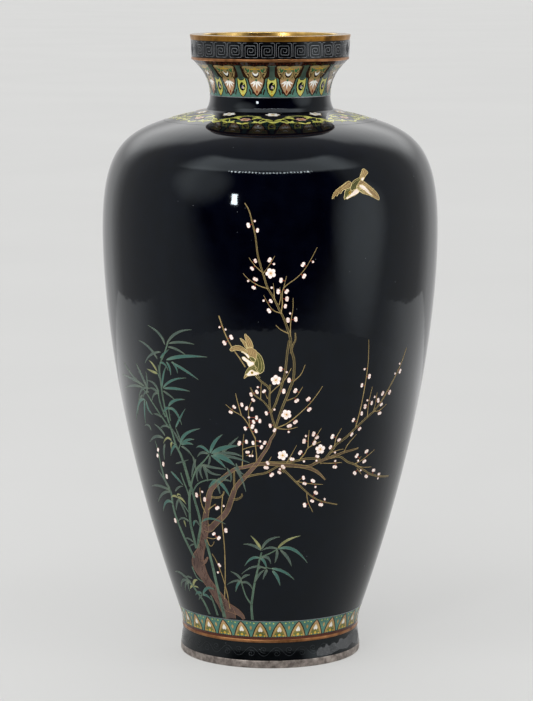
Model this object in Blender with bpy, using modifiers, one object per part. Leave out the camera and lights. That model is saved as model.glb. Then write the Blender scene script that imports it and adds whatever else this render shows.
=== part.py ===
"""Cloisonne enamel vase: a raised copper core in three pieces, metal mounts at the lip and
foot, wire rings that part the borders, and fields of enamel fired between them.

Lengths below are in millimetres and angles in degrees. MM turns them into Blender's metres.
The vase stands on z = 0 with its axis on +Z, and its picture faces -Y.
"""

import math

import bmesh
import bpy
from mathutils import Vector

MM = 0.001

# Driving dimensions
HEIGHT = 185.0
LIP_RADIUS = 23.7
BELLY_RADIUS = 49.8
BELLY_HEIGHT = 127.0
FOOT_RADIUS = 27.0
SEGMENTS = 36

# Layers of the wall, measured inwards from the polished outer surface
GAP = 0.3
ENAMEL = 1.0
COPPER = 1.0
COUNTER_ENAMEL = 0.7
LINING = 0.5
COPPER_FACE = ENAMEL + GAP
COPPER_BACK = COPPER_FACE + COPPER
INNER_FACE = COPPER_BACK + GAP
INNER_BACK = INNER_FACE + COUNTER_ENAMEL

# Heights where one border ends and the next begins
LIP_RIM_BOTTOM = 183.5
FRET_BOTTOM = 178.5
LIP_BAND_BOTTOM = 177.6
DOT_BAND_BOTTOM = 176.5
NECK_LAPPET_BOTTOM = 167.2
NECK_ROOT = 163.3
LOWER_LAPPET_TOP = 14.5
LOWER_LAPPET_BOTTOM = 9.5
FOOT_BAND_TOP = 8.5
FOOT_BAND_BOTTOM = 7.5
FOOT_RIM_TOP = 2.4

WIRE = 0.3
SCROLL_RADIUS = 31.3
MOUTH_RADIUS = 20.1
FOOT_OPENING_RADIUS = 23.4
BASE_THICKNESS = 1.0
BASE_ENAMEL = 0.8

# Outer profile: (radius, height) handles of four cubic curves, from the lip down to the foot
ROOT_POINT = (18.9, 163.0)
WAIST_POINT = (27.9, LOWER_LAPPET_TOP)
NECK_CURVE = ((23.1, 177.7), (16.4, 172.1), (17.7, 165.5), (18.4, 163.9))
SHOULDER_CURVE = (ROOT_POINT, (40.8, 157.8), (BELLY_RADIUS, 156.2), (BELLY_RADIUS, BELLY_HEIGHT))
BELLY_CURVE = ((BELLY_RADIUS, BELLY_HEIGHT), (BELLY_RADIUS, 111.9), (47.4, 71.4), WAIST_POINT)
WAIST_CURVE = (WAIST_POINT, (26.1, 10.4), (26.1, 6.7), (FOOT_RADIUS, FOOT_RIM_TOP))

# Materials: colour, roughness, metallic
GILT = ("gilt_copper", (0.80, 0.52, 0.22), 0.25, 1.0)
RAW_COPPER = ("raw_copper", (0.72, 0.36, 0.22), 0.45, 1.0)
COPPER_BAND = ("copper_band", (0.55, 0.33, 0.18), 0.35, 1.0)
SILVER = ("tarnished_silver", (0.55, 0.50, 0.46), 0.4, 1.0)
BLACK = ("midnight_enamel", (0.008, 0.010, 0.018), 0.06, 0.0)
GREEN = ("green_enamel", (0.10, 0.24, 0.21), 0.12, 0.0)
BROWN = ("brown_enamel", (0.16, 0.06, 0.03), 0.15, 0.0)
COUNTER = ("counter_enamel", (0.03, 0.06, 0.10), 0.2, 0.0)
BARK = ("bark_enamel", (0.22, 0.11, 0.09), 0.15, 0.0)
TWIG = ("twig_enamel", (0.26, 0.20, 0.09), 0.15, 0.0)
BAMBOO = ("bamboo_enamel", (0.12, 0.24, 0.19), 0.15, 0.0)
PETAL = ("petal_enamel", (0.85, 0.70, 0.64), 0.15, 0.0)
FEATHER = ("feather_enamel", (0.35, 0.30, 0.13), 0.15, 0.0)

# The picture: each stroke is a list of (angle, height, width), each place an (angle, height)
STROKES = {
    "plum_trunk": (BARK, [(-25.5, 17, 5.0), (-29, 21, 3.8), (-34, 26, 3.6), (-38, 30, 4.6),
                          (-35.5, 34, 3.2), (-32, 38.5, 2.8)]),
    "plum_left_limb": (BARK, [(-31, 41.5, 2.0), (-29.5, 46, 1.8), (-27, 50, 1.6), (-26, 55, 1.5),
                              (-22, 58.5, 1.2), (-16, 61.5, 1.0)]),
    "plum_right_limb": (BARK, [(-27.5, 43, 1.6), (-22.5, 47, 1.6), (-18.5, 51, 1.5), (-16, 56, 1.5),
                               (-11, 60.5, 1.4), (-7, 63, 1.2)]),
    "plum_upper_branch": (TWIG, [(-4, 66, 1.0), (-1, 69.5, 1.0), (2, 76, 0.9), (3.5, 84, 0.9),
                                 (6.5, 92, 0.9), (7, 100, 0.8), (4.5, 108, 0.8), (0, 117, 0.7)]),
    "plum_side_branch": (TWIG, [(-3.5, 63.7, 1.0), (5, 63.5, 1.0), (14, 64.5, 1.0), (23, 66, 1.0),
                                (30, 68, 0.9), (36, 74, 0.8), (43, 79, 0.7)]),
    "bamboo_back_culm": (BAMBOO, [(-43, 35, 0.7), (-47, 44, 0.7), (-50, 54, 0.7), (-51.5, 64, 0.6)]),
    "bamboo_tall_culm": (BAMBOO, [(-38, 36, 0.7), (-38.5, 46, 0.7), (-37.5, 58, 0.7), (-39.5, 70, 0.7),
                                  (-43, 82, 0.7), (-41.5, 93, 0.6)]),
    "bamboo_young_culm": (BAMBOO, [(-12, 16, 0.9), (-11.5, 22, 0.8), (-10, 29, 0.7), (-7, 35, 0.6)]),
}
BLOSSOM_RADIUS = 1.6
BLOSSOMS = [(1.5, 89), (6, 79), (5, 66.3), (20, 68), (0, 120)]

# Bird outlines, (across, up) in millimetres from each bird's own centre
FLYING_BIRD_CENTRE = (30, 144)
FLYING_BIRD = [(-3.5, -4.1), (-3.4, -2.2), (-7.4, -3.6), (-5.4, -1.1), (-2.8, 1.0), (0.7, 2.2),
               (1.7, 4.4), (3.8, 3.5), (2.6, 1.1), (5.6, -1.4), (7.2, -4.0), (1.2, -2.1)]
PERCHED_BIRD_CENTRE = (-6.6, 95)
PERCHED_BIRD = [(-2.4, -5.6), (-2.2, -3.8), (-1.0, -2.4), (-3.0, 0.2), (-1.9, 1.9), (-5.6, 2.2),
                (-4.4, 3.5), (-2.2, 2.9), (-2.2, 6.6), (-0.4, 3.6), (1.4, 1.6), (3.0, -0.8),
                (3.2, -3.0), (1.8, -4.8)]


def cubic(handles, steps):
    """Points of a cubic curve, both ends included."""
    a, b, c, d = (Vector(handle) for handle in handles)
    points = []
    for i in range(steps + 1):
        t = i / steps
        s = 1 - t
        points.append(s**3 * a + 3 * s * s * t * b + 3 * s * t * t * c + t**3 * d)
    return points


def radius_at(height):
    """Radius of the polished outer surface at a height, by interpolation along the profile."""
    lip = [Vector((LIP_RADIUS, HEIGHT)), Vector((23.45, LIP_RIM_BOTTOM)), Vector((23.25, FRET_BOTTOM))]
    line = lip + cubic(NECK_CURVE, 24) + cubic(SHOULDER_CURVE, 60)
    line += cubic(BELLY_CURVE, 60)[1:] + cubic(WAIST_CURVE, 24)[1:] + [Vector((FOOT_RADIUS, 0))]
    for upper, lower in zip(line, line[1:]):
        if lower.y <= height <= upper.y and upper.y > lower.y:
            share = (height - lower.y) / (upper.y - lower.y)
            return lower.x + share * (upper.x - lower.x)
    return LIP_RADIUS


def on_shoulder(radius):
    """The point of the shoulder at a radius."""
    return min(cubic(SHOULDER_CURVE, 2000), key=lambda point: abs(point.x - radius))


def inset(line, depth):
    """The line moved inwards, at right angles to itself, by depth. It runs down the outer side."""
    moved = []
    for i, point in enumerate(line):
        along = (line[min(i + 1, len(line) - 1)] - line[max(i - 1, 0)]).normalized()
        moved.append(point - depth * Vector((-along.y, along.x)))
    return moved


def wall(line, face, back):
    """Closed section of a wall between two depths below the line."""
    return inset(line, face) + inset(line, back)[::-1]


def profile(top, bottom, steps):
    """Points of the outer surface at even heights."""
    heights = [top + (bottom - top) * i / steps for i in range(steps + 1)]
    return [Vector((radius_at(h), h)) for h in heights]


def level(line, face, back):
    """Closed section between two depths from the line, measured level."""
    outer = [Vector((r - face, z)) for r, z in line]
    inner = [Vector((r - back, z)) for r, z in line]
    return outer + inner[::-1]


def band(top, bottom, face, back, steps=1):
    """Closed section of an upright band between two heights."""
    return level(profile(top, bottom, steps), face, back)


def material(spec):
    name, colour, roughness, metallic = spec
    made = bpy.data.materials.get(name)
    if made is None:
        made = bpy.data.materials.new(name)
        made.use_nodes = True
        shader = made.node_tree.nodes["Principled BSDF"]
        shader.inputs["Base Color"].default_value = (*colour, 1.0)
        shader.inputs["Roughness"].default_value = roughness
        shader.inputs["Metallic"].default_value = metallic
    return made


def add_object(name, data, spec, collection):
    made = bpy.data.objects.new(name, data)
    if spec:
        data.materials.append(material(spec))
    collection.objects.link(made)
    return made


def turned(name, section, spec, closed=True):
    """A piece turned about the axis. An open section starts and ends on the axis."""
    mesh = bpy.data.meshes.new(name)
    edges = [(i, i + 1) for i in range(len(section) - 1)]
    if closed:
        edges.append((len(section) - 1, 0))
    mesh.from_pydata([(r * MM, 0, z * MM) for r, z in section], edges, [])
    made = add_object(name, mesh, spec, vase)
    screw = made.modifiers.new("Turn", "SCREW")
    screw.steps = SEGMENTS
    screw.render_steps = SEGMENTS
    screw.use_smooth_shade = True
    screw.use_merge_vertices = True
    screw.merge_threshold = 0.00001
    return made


def disc(name, radius, bottom, top, spec):
    mesh = bpy.data.meshes.new(name)
    shape = bmesh.new()
    bmesh.ops.create_cone(shape, cap_ends=True, segments=SEGMENTS, radius1=radius * MM,
                          radius2=radius * MM, depth=(top - bottom) * MM)
    shape.to_mesh(mesh)
    shape.free()
    made = add_object(name, mesh, spec, vase)
    made.location.z = (top + bottom) / 2 * MM
    return made


def prism(name, outline, angle):
    """A cutter: a flat outline in millimetres, pushed through the front wall at an angle round it."""
    depth, centre_radius = 14, 44
    curve = bpy.data.curves.new(name, "CURVE")
    curve.dimensions = "2D"
    curve.fill_mode = "BOTH"
    curve.extrude = depth * MM
    spline = curve.splines.new("POLY")
    spline.points.add(len(outline) - 1)
    for point, (x, z) in zip(spline.points, outline):
        point.co = (x * MM, z * MM, 0, 1)
    spline.use_cyclic_u = True
    flat = add_object(name + "_flat", curve, None, cutters)
    turn = math.radians(angle)
    flat.rotation_euler = (math.pi / 2, 0, turn)
    flat.location = (centre_radius * MM * math.sin(turn), -centre_radius * MM * math.cos(turn), 0)
    bpy.context.view_layer.update()
    mesh = bpy.data.meshes.new_from_object(flat.evaluated_get(bpy.context.evaluated_depsgraph_get()))
    shape = bmesh.new()
    shape.from_mesh(mesh)
    bmesh.ops.remove_doubles(shape, verts=shape.verts, dist=0.00001)
    bmesh.ops.recalc_face_normals(shape, faces=shape.faces)
    shape.to_mesh(mesh)
    shape.free()
    made = add_object(name, mesh, None, cutters)
    made.matrix_world = flat.matrix_world.copy()
    made.hide_render = True
    made.display_type = "WIRE"
    bpy.data.objects.remove(flat)
    return made


def stroke_outline(path, centre, grow):
    """Closed outline round a tapering stroke, flattened about the angle of its centre."""
    line = [Vector((radius_at(z) * math.sin(math.radians(a - centre)), z)) for a, z, _ in path]
    left, right = [], []
    for i, point in enumerate(line):
        along = (line[min(i + 1, len(line) - 1)] - line[max(i - 1, 0)]).normalized()
        across = Vector((-along.y, along.x)) * (path[i][2] / 2 + grow)
        end = along * grow * ((i == len(line) - 1) - (i == 0))
        left.append(point + across + end)
        right.append(point - across + end)
    return left + right[::-1]


def grown(outline, grow):
    """A closed outline with each corner moved out by grow."""
    area = sum(a[0] * b[1] - b[0] * a[1] for a, b in zip(outline, outline[1:] + outline[:1]))
    turn = 1 if area > 0 else -1
    moved = []
    for i, corner in enumerate(outline):
        before = (Vector(corner) - Vector(outline[i - 1])).normalized()
        after = (Vector(outline[(i + 1) % len(outline)]) - Vector(corner)).normalized()
        out = (Vector((before.y, -before.x)) + Vector((after.y, -after.x))).normalized()
        moved.append(Vector(corner) + turn * grow * out)
    return moved


def blossom_outline(grow):
    """Five round petals."""
    points = []
    for i in range(15):
        turn = 2 * math.pi * i / 15
        radius = BLOSSOM_RADIUS * (0.84 + 0.16 * math.cos(5 * turn)) + grow
        points.append((radius * math.sin(turn), radius * math.cos(turn)))
    return points


def inlay(name, spec, make_outline, angle, height=0.0):
    """An enamel cell: the ground's own wall inside the outline, in a pocket GAP wider all round."""
    def at_height(grow):
        return [(x, z + height) for x, z in make_outline(grow)]

    piece = turned(name, wall(ground_line, 0, ENAMEL), spec)
    keep = piece.modifiers.new("Cell", "BOOLEAN")
    keep.operation = "INTERSECT"
    keep.solver = "EXACT"
    keep.object = prism(name + "_cell", at_height(0), angle)
    pocket = ground.modifiers.new(name, "BOOLEAN")
    pocket.operation = "DIFFERENCE"
    pocket.solver = "EXACT"
    pocket.object = prism(name + "_pocket", at_height(GAP), angle)
    return piece


# Start from an empty scene
for leftover in list(bpy.data.objects):
    bpy.data.objects.remove(leftover)
vase = bpy.data.collections.new("cloisonne_vase")
cutters = bpy.data.collections.new("cutters")
bpy.context.scene.collection.children.link(vase)
bpy.context.scene.collection.children.link(cutters)

# Lip: a flat gilt rim, the black fret field, and a round-edged band under it
rim_edge = 0.3
turned("lip_rim", [(MOUTH_RADIUS, HEIGHT - rim_edge), (MOUTH_RADIUS + rim_edge, HEIGHT),
                   (LIP_RADIUS - rim_edge, HEIGHT), (LIP_RADIUS, HEIGHT - rim_edge),
                   (radius_at(LIP_RIM_BOTTOM), LIP_RIM_BOTTOM), (MOUTH_RADIUS, LIP_RIM_BOTTOM)], GILT)
turned("lip_fret_enamel", band(LIP_RIM_BOTTOM - GAP, FRET_BOTTOM + GAP, 0, ENAMEL), BLACK)
turned("lip_lower_band", band(FRET_BOTTOM, LIP_BAND_BOTTOM, 0, ENAMEL), COPPER_BAND)

# Neck: dotted band, lappet border, wire ring and plain black field
turned("neck_dot_enamel", band(LIP_BAND_BOTTOM - GAP, DOT_BAND_BOTTOM, 0, ENAMEL), BROWN)
turned("neck_lappet_enamel",
       band(DOT_BAND_BOTTOM - GAP, NECK_LAPPET_BOTTOM + WIRE / 2 + GAP, 0, ENAMEL, 5), GREEN)
turned("neck_border_wire",
       band(NECK_LAPPET_BOTTOM + WIRE / 2, NECK_LAPPET_BOTTOM - WIRE / 2, 0, ENAMEL), COPPER_BAND)
turned("neck_black_enamel", band(NECK_LAPPET_BOTTOM - WIRE / 2 - GAP, NECK_ROOT + GAP, 0, ENAMEL, 3), BLACK)
neck_line = profile(LIP_RIM_BOTTOM - GAP, NECK_CURVE[-1][1], 5)
core_end = Vector((neck_line[-1].x, NECK_ROOT - 0.6))
lining_end = Vector((neck_line[-1].x, NECK_ROOT - 3.1))
turned("neck_core", level(neck_line + [core_end], COPPER_FACE, COPPER_BACK), RAW_COPPER)
turned("mouth_lining", level(neck_line + [lining_end], INNER_FACE, INNER_FACE + LINING), GILT)

# Body: shoulder scroll field, wire ring and the midnight ground, over a raised copper core
body_line = cubic(SHOULDER_CURVE, 8) + cubic(BELLY_CURVE, 5)[1:]
scroll_line = [on_shoulder(r) for r in (19.3, 23, 27, SCROLL_RADIUS - GAP)]
turned("shoulder_scroll_enamel", wall(scroll_line, 0, ENAMEL), BLACK)
wire_line = [on_shoulder(SCROLL_RADIUS), on_shoulder(SCROLL_RADIUS + WIRE)]
turned("shoulder_border_wire", wall(wire_line, 0, ENAMEL), COPPER_BAND)
ground_start = on_shoulder(SCROLL_RADIUS + WIRE + GAP)
ground_line = [ground_start] + [point for point in body_line if point.x > SCROLL_RADIUS + 2 or point.y < 100]
ground_line[-1] = Vector((radius_at(LOWER_LAPPET_TOP + GAP), LOWER_LAPPET_TOP + GAP))
ground = turned("body_ground_enamel", wall(ground_line, 0, ENAMEL), BLACK)

core_bottom = FOOT_BAND_TOP + GAP
shelf = Vector((16.65, 163.5))
core_line = [shelf] + body_line[:-1] + [Vector((radius_at(z), z)) for z in (LOWER_LAPPET_TOP, core_bottom)]
core_section = wall(core_line, COPPER_FACE, COPPER_BACK)
turned("body_core", core_section, RAW_COPPER)

# Inner counter enamel: the same line again, closed by a floor over the base plate
inner_line = [point for point in core_line if point.x > ROOT_POINT[0] + 1 or point.y < 100]
inner_outside = inset(inner_line, INNER_FACE)
inner_inside = inset(inner_line, INNER_BACK)
floor_top = core_bottom + COUNTER_ENAMEL
inner_outside[-1] = Vector((inner_outside[-1].x, core_bottom))
inner_inside[-1] = Vector((inner_inside[-1].x, floor_top))
inner_section = [Vector((0, floor_top))] + inner_inside[::-1] + inner_outside + [Vector((0, core_bottom))]
turned("inner_counter_enamel", inner_section, COUNTER, closed=False)

# Lower border and foot
turned("lower_border_wire", band(LOWER_LAPPET_TOP, LOWER_LAPPET_TOP - WIRE, 0, ENAMEL), COPPER_BAND)
turned("lower_lappet_enamel",
       band(LOWER_LAPPET_TOP - WIRE - GAP, LOWER_LAPPET_BOTTOM + GAP, 0, ENAMEL, 3), GREEN)
turned("lower_dot_enamel", band(LOWER_LAPPET_BOTTOM, FOOT_BAND_TOP + GAP, 0, ENAMEL), BROWN)
turned("foot_band", band(FOOT_BAND_TOP, FOOT_BAND_BOTTOM, 0, ENAMEL), COPPER_BAND)
turned("foot_enamel", band(FOOT_BAND_BOTTOM - GAP, FOOT_RIM_TOP + GAP, 0, ENAMEL, 3), BLACK)
turned("foot_core", band(FOOT_BAND_BOTTOM - GAP, FOOT_RIM_TOP + GAP, COPPER_FACE, COPPER_BACK, 3), RAW_COPPER)
foot_edge = 0.5
turned("foot_rim", [(FOOT_RADIUS - 0.2, FOOT_RIM_TOP), (FOOT_RADIUS, FOOT_RIM_TOP - 0.2),
                    (FOOT_RADIUS, foot_edge), (FOOT_RADIUS - foot_edge, 0),
                    (FOOT_OPENING_RADIUS, 0), (FOOT_OPENING_RADIUS, FOOT_RIM_TOP)], SILVER)
plate_radius = radius_at(FOOT_BAND_TOP) - COPPER_FACE
disc("base_plate", plate_radius, FOOT_BAND_TOP - BASE_THICKNESS, FOOT_BAND_TOP, RAW_COPPER)
base_enamel_top = FOOT_BAND_BOTTOM - GAP
disc("base_counter_enamel", FOOT_OPENING_RADIUS, base_enamel_top - BASE_ENAMEL, base_enamel_top, COUNTER)

# The picture, cell by cell
for name, (spec, path) in STROKES.items():
    middle = sum(a for a, _, _ in path) / len(path)
    inlay(name, spec, lambda grow, path=path, middle=middle: stroke_outline(path, middle, grow), middle)
for number, (angle, height) in enumerate(BLOSSOMS, 1):
    inlay(f"plum_blossom_{number}", PETAL, blossom_outline, angle, height)
for name, outline, (angle, height) in (("flying_bird", FLYING_BIRD, FLYING_BIRD_CENTRE),
                                       ("perched_bird", PERCHED_BIRD, PERCHED_BIRD_CENTRE)):
    inlay(name, FEATHER, lambda grow, outline=outline: grown(outline, grow), angle, height)
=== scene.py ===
import math
import random

import bmesh
import bpy
import numpy as np
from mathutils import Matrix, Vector, geometry


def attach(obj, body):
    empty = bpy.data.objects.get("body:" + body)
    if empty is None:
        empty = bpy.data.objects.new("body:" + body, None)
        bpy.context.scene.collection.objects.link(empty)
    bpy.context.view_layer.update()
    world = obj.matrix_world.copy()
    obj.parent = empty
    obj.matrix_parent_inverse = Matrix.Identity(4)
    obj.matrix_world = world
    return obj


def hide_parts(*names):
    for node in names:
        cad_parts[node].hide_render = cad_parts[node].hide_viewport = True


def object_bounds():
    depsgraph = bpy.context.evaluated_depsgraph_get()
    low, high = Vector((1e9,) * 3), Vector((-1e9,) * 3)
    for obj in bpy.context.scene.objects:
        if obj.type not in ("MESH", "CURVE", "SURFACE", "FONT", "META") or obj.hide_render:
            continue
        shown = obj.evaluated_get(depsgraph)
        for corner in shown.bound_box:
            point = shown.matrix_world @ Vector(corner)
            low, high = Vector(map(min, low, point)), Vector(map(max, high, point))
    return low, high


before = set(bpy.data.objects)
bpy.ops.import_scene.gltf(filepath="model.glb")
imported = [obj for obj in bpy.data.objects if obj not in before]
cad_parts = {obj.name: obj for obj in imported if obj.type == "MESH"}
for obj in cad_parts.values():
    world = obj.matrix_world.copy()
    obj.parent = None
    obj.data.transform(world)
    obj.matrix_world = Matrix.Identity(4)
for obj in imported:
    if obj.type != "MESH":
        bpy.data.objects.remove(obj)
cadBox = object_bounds()
mm = cadBox[1][2] / 185  # the vase is 185 mm tall, so this turns its millimetres into metres
chance = random.Random(7)
print("frame loaded")


def linear(hexColour):
    # an sRGB hex colour as the linear values that shaders take
    channels = [int(hexColour[i:i + 2], 16) / 255 for i in (1, 3, 5)]
    return (*(c / 12.92 if c <= 0.04045 else ((c + 0.055) / 1.055) ** 2.4 for c in channels), 1)


def addNode(tree, kind, settings, links):
    node = tree.nodes.new(kind)
    for key, value in settings.items():
        if key == "stops":  # colour ramp stops, as (position, hex colour or plain number)
            while len(node.color_ramp.elements) < len(value):
                node.color_ramp.elements.new(1)
            for element, (position, colour) in zip(node.color_ramp.elements, value):
                element.position = position
                element.color = linear(colour) if isinstance(colour, str) else (colour, colour, colour, 1)
        elif isinstance(key, str) and hasattr(node, key):
            setattr(node, key, value)
        else:
            node.inputs[key].default_value = value
    for key, source in links.items():
        tree.links.new(source, node.inputs[key])
    return node


def newMaterial(name, values):
    material = bpy.data.materials.new(name)
    material.use_nodes = True
    tree = material.node_tree
    shader = tree.nodes["Principled BSDF"]
    for key, value in values.items():
        shader.inputs[key].default_value = value
    place = addNode(tree, "ShaderNodeTexCoord", {}, {}).outputs["Object"]
    return material, tree, shader, place


enamelSurface = {
    "ior": 1.32,              # lead glass is near 1.5; less keeps the ground as deep as it looks
    "roughness": 0.035,
    "glint": "#ecf9ff",       # cool cast of the gloss where it is seen straight on
    "cloudMm": 5.0,           # size of the cloudy changes of colour
    "grainMm": 0.5,           # size of the grains where two colours of ground glass were mixed
    "smearMm": 18.0,          # size of the patches where the polish is a little duller
    "pitMm": 4.5,             # spacing of the tiny burst bubbles that polishing opens
    "pitDepthMm": 0.03,
    "pitDust": "#5c6064",     # polishing dust left in them
    "rippleMm": 3.0,          # spacing of the shallow ripples that polishing leaves
    "rippleHeightMm": 0.015,
}


def enamel(name, deep, pale, shade=None, tone=None, ripple=1.0, rough=0.0):
    # Glass fired onto metal, then ground flat and polished: deep colour under a hard even gloss.
    look = enamelSurface
    material, tree, shader, place = newMaterial(name, {"IOR": look["ior"], "Specular Tint": linear(look["glint"])})
    cloud = addNode(tree, "ShaderNodeTexNoise", {"Scale": 1 / (look["cloudMm"] * mm), "Detail": 4.0},
                    {"Vector": place})
    colour = addNode(tree, "ShaderNodeValToRGB", {"stops": [(0.34, deep), (0.66, pale)]},
                     {"Fac": cloud.outputs["Fac"]}).outputs["Color"]
    if tone:  # colour that changes along each cell, from its root to its tip
        along = addNode(tree, "ShaderNodeAttribute", {"attribute_name": "tone"}, {})
        shades = addNode(tree, "ShaderNodeValToRGB", {"stops": tone}, {"Fac": along.outputs["Fac"]})
        colour = addNode(tree, "ShaderNodeMixRGB", {"blend_type": "MIX", "Fac": 0.8},
                         {"Color1": colour, "Color2": shades.outputs["Color"]}).outputs["Color"]
    if shade:  # a fine grain of a second colour
        grain = addNode(tree, "ShaderNodeTexNoise", {"Scale": 1 / (look["grainMm"] * mm), "Detail": 2.0},
                        {"Vector": place})
        amount = addNode(tree, "ShaderNodeMapRange", {"From Min": 0.5, "From Max": 0.75, "To Max": 0.55},
                         {"Value": grain.outputs["Fac"]})
        colour = addNode(tree, "ShaderNodeMixRGB", {"Color2": linear(shade)},
                         {"Fac": amount.outputs["Result"], "Color1": colour}).outputs["Color"]
    pits = addNode(tree, "ShaderNodeTexVoronoi", {"Scale": 1 / (look["pitMm"] * mm)}, {"Vector": place})
    pit = addNode(tree, "ShaderNodeMapRange", {"From Min": 0.012, "From Max": 0.030, "To Min": 1.0, "To Max": 0.0},
                  {"Value": pits.outputs["Distance"]})
    colour = addNode(tree, "ShaderNodeMixRGB", {"Color2": linear(look["pitDust"])},
                     {"Fac": pit.outputs["Result"], "Color1": colour}).outputs["Color"]
    tree.links.new(colour, shader.inputs["Base Color"])
    smear = addNode(tree, "ShaderNodeTexNoise", {"Scale": 1 / (look["smearMm"] * mm), "Detail": 5.0},
                    {"Vector": place})
    gloss = addNode(tree, "ShaderNodeMapRange",
                    {"From Min": 0.3, "From Max": 0.75, "To Min": look["roughness"] + rough,
                     "To Max": look["roughness"] * 1.7 + rough}, {"Value": smear.outputs["Fac"]})
    dull = addNode(tree, "ShaderNodeMath", {"operation": "MAXIMUM"},
                   {0: gloss.outputs["Result"], 1: pit.outputs["Result"]})
    tree.links.new(dull.outputs["Value"], shader.inputs["Roughness"])
    waves = addNode(tree, "ShaderNodeTexNoise", {"Scale": 1 / (look["rippleMm"] * mm), "Detail": 1.5},
                    {"Vector": place})
    bump = addNode(tree, "ShaderNodeBump", {"Strength": 1.0, "Distance": look["rippleHeightMm"] * ripple * mm},
                   {"Height": waves.outputs["Fac"]})
    dent = addNode(tree, "ShaderNodeBump", {"Strength": 0.6, "Distance": look["pitDepthMm"] * mm, "invert": True},
                   {"Height": pit.outputs["Result"], "Normal": bump.outputs["Normal"]})
    tree.links.new(dent.outputs["Normal"], shader.inputs["Normal"])
    return material


metalSurface = {
    "scratchMm": 1.6,         # length of the hairlines that filing leaves; real ones lie closer than can show
    "scratchesPerLength": 14,
    "scratchDepthMm": 0.02,
}


def metal(name, bright, dark, tarnish, roughness, patchMm, worn, metallic=1.0):
    # Rolled or drawn metal, filed flush with the enamel: soft gloss, hairline scratches, old tarnish.
    look = metalSurface
    material, tree, shader, place = newMaterial(name, {"Metallic": metallic})
    patch = addNode(tree, "ShaderNodeTexNoise", {"Scale": 1 / (patchMm * mm), "Detail": 6.0, "Roughness": 0.62},
                    {"Vector": place})
    colour = addNode(tree, "ShaderNodeValToRGB",
                     {"stops": [(0.30, tarnish), (0.30 + 0.25 * worn, dark), (0.68, bright)]},
                     {"Fac": patch.outputs["Fac"]})
    tree.links.new(colour.outputs["Color"], shader.inputs["Base Color"])
    spread = addNode(tree, "ShaderNodeMapRange",
                     {"From Min": 0.3, "From Max": 0.7, "To Min": roughness * 1.5, "To Max": roughness * 0.8},
                     {"Value": patch.outputs["Fac"]})
    tree.links.new(spread.outputs["Result"], shader.inputs["Roughness"])
    roundTheVase = addNode(tree, "ShaderNodeMapping", {"Scale": (1, 1, look["scratchesPerLength"])},
                           {"Vector": place})
    scratch = addNode(tree, "ShaderNodeTexNoise", {"Scale": 1 / (look["scratchMm"] * mm), "Detail": 3.0},
                      {"Vector": roundTheVase.outputs["Vector"]})
    bump = addNode(tree, "ShaderNodeBump", {"Strength": 0.5, "Distance": look["scratchDepthMm"] * mm},
                   {"Height": scratch.outputs["Fac"]})
    tree.links.new(bump.outputs["Normal"], shader.inputs["Normal"])
    return material


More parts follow.
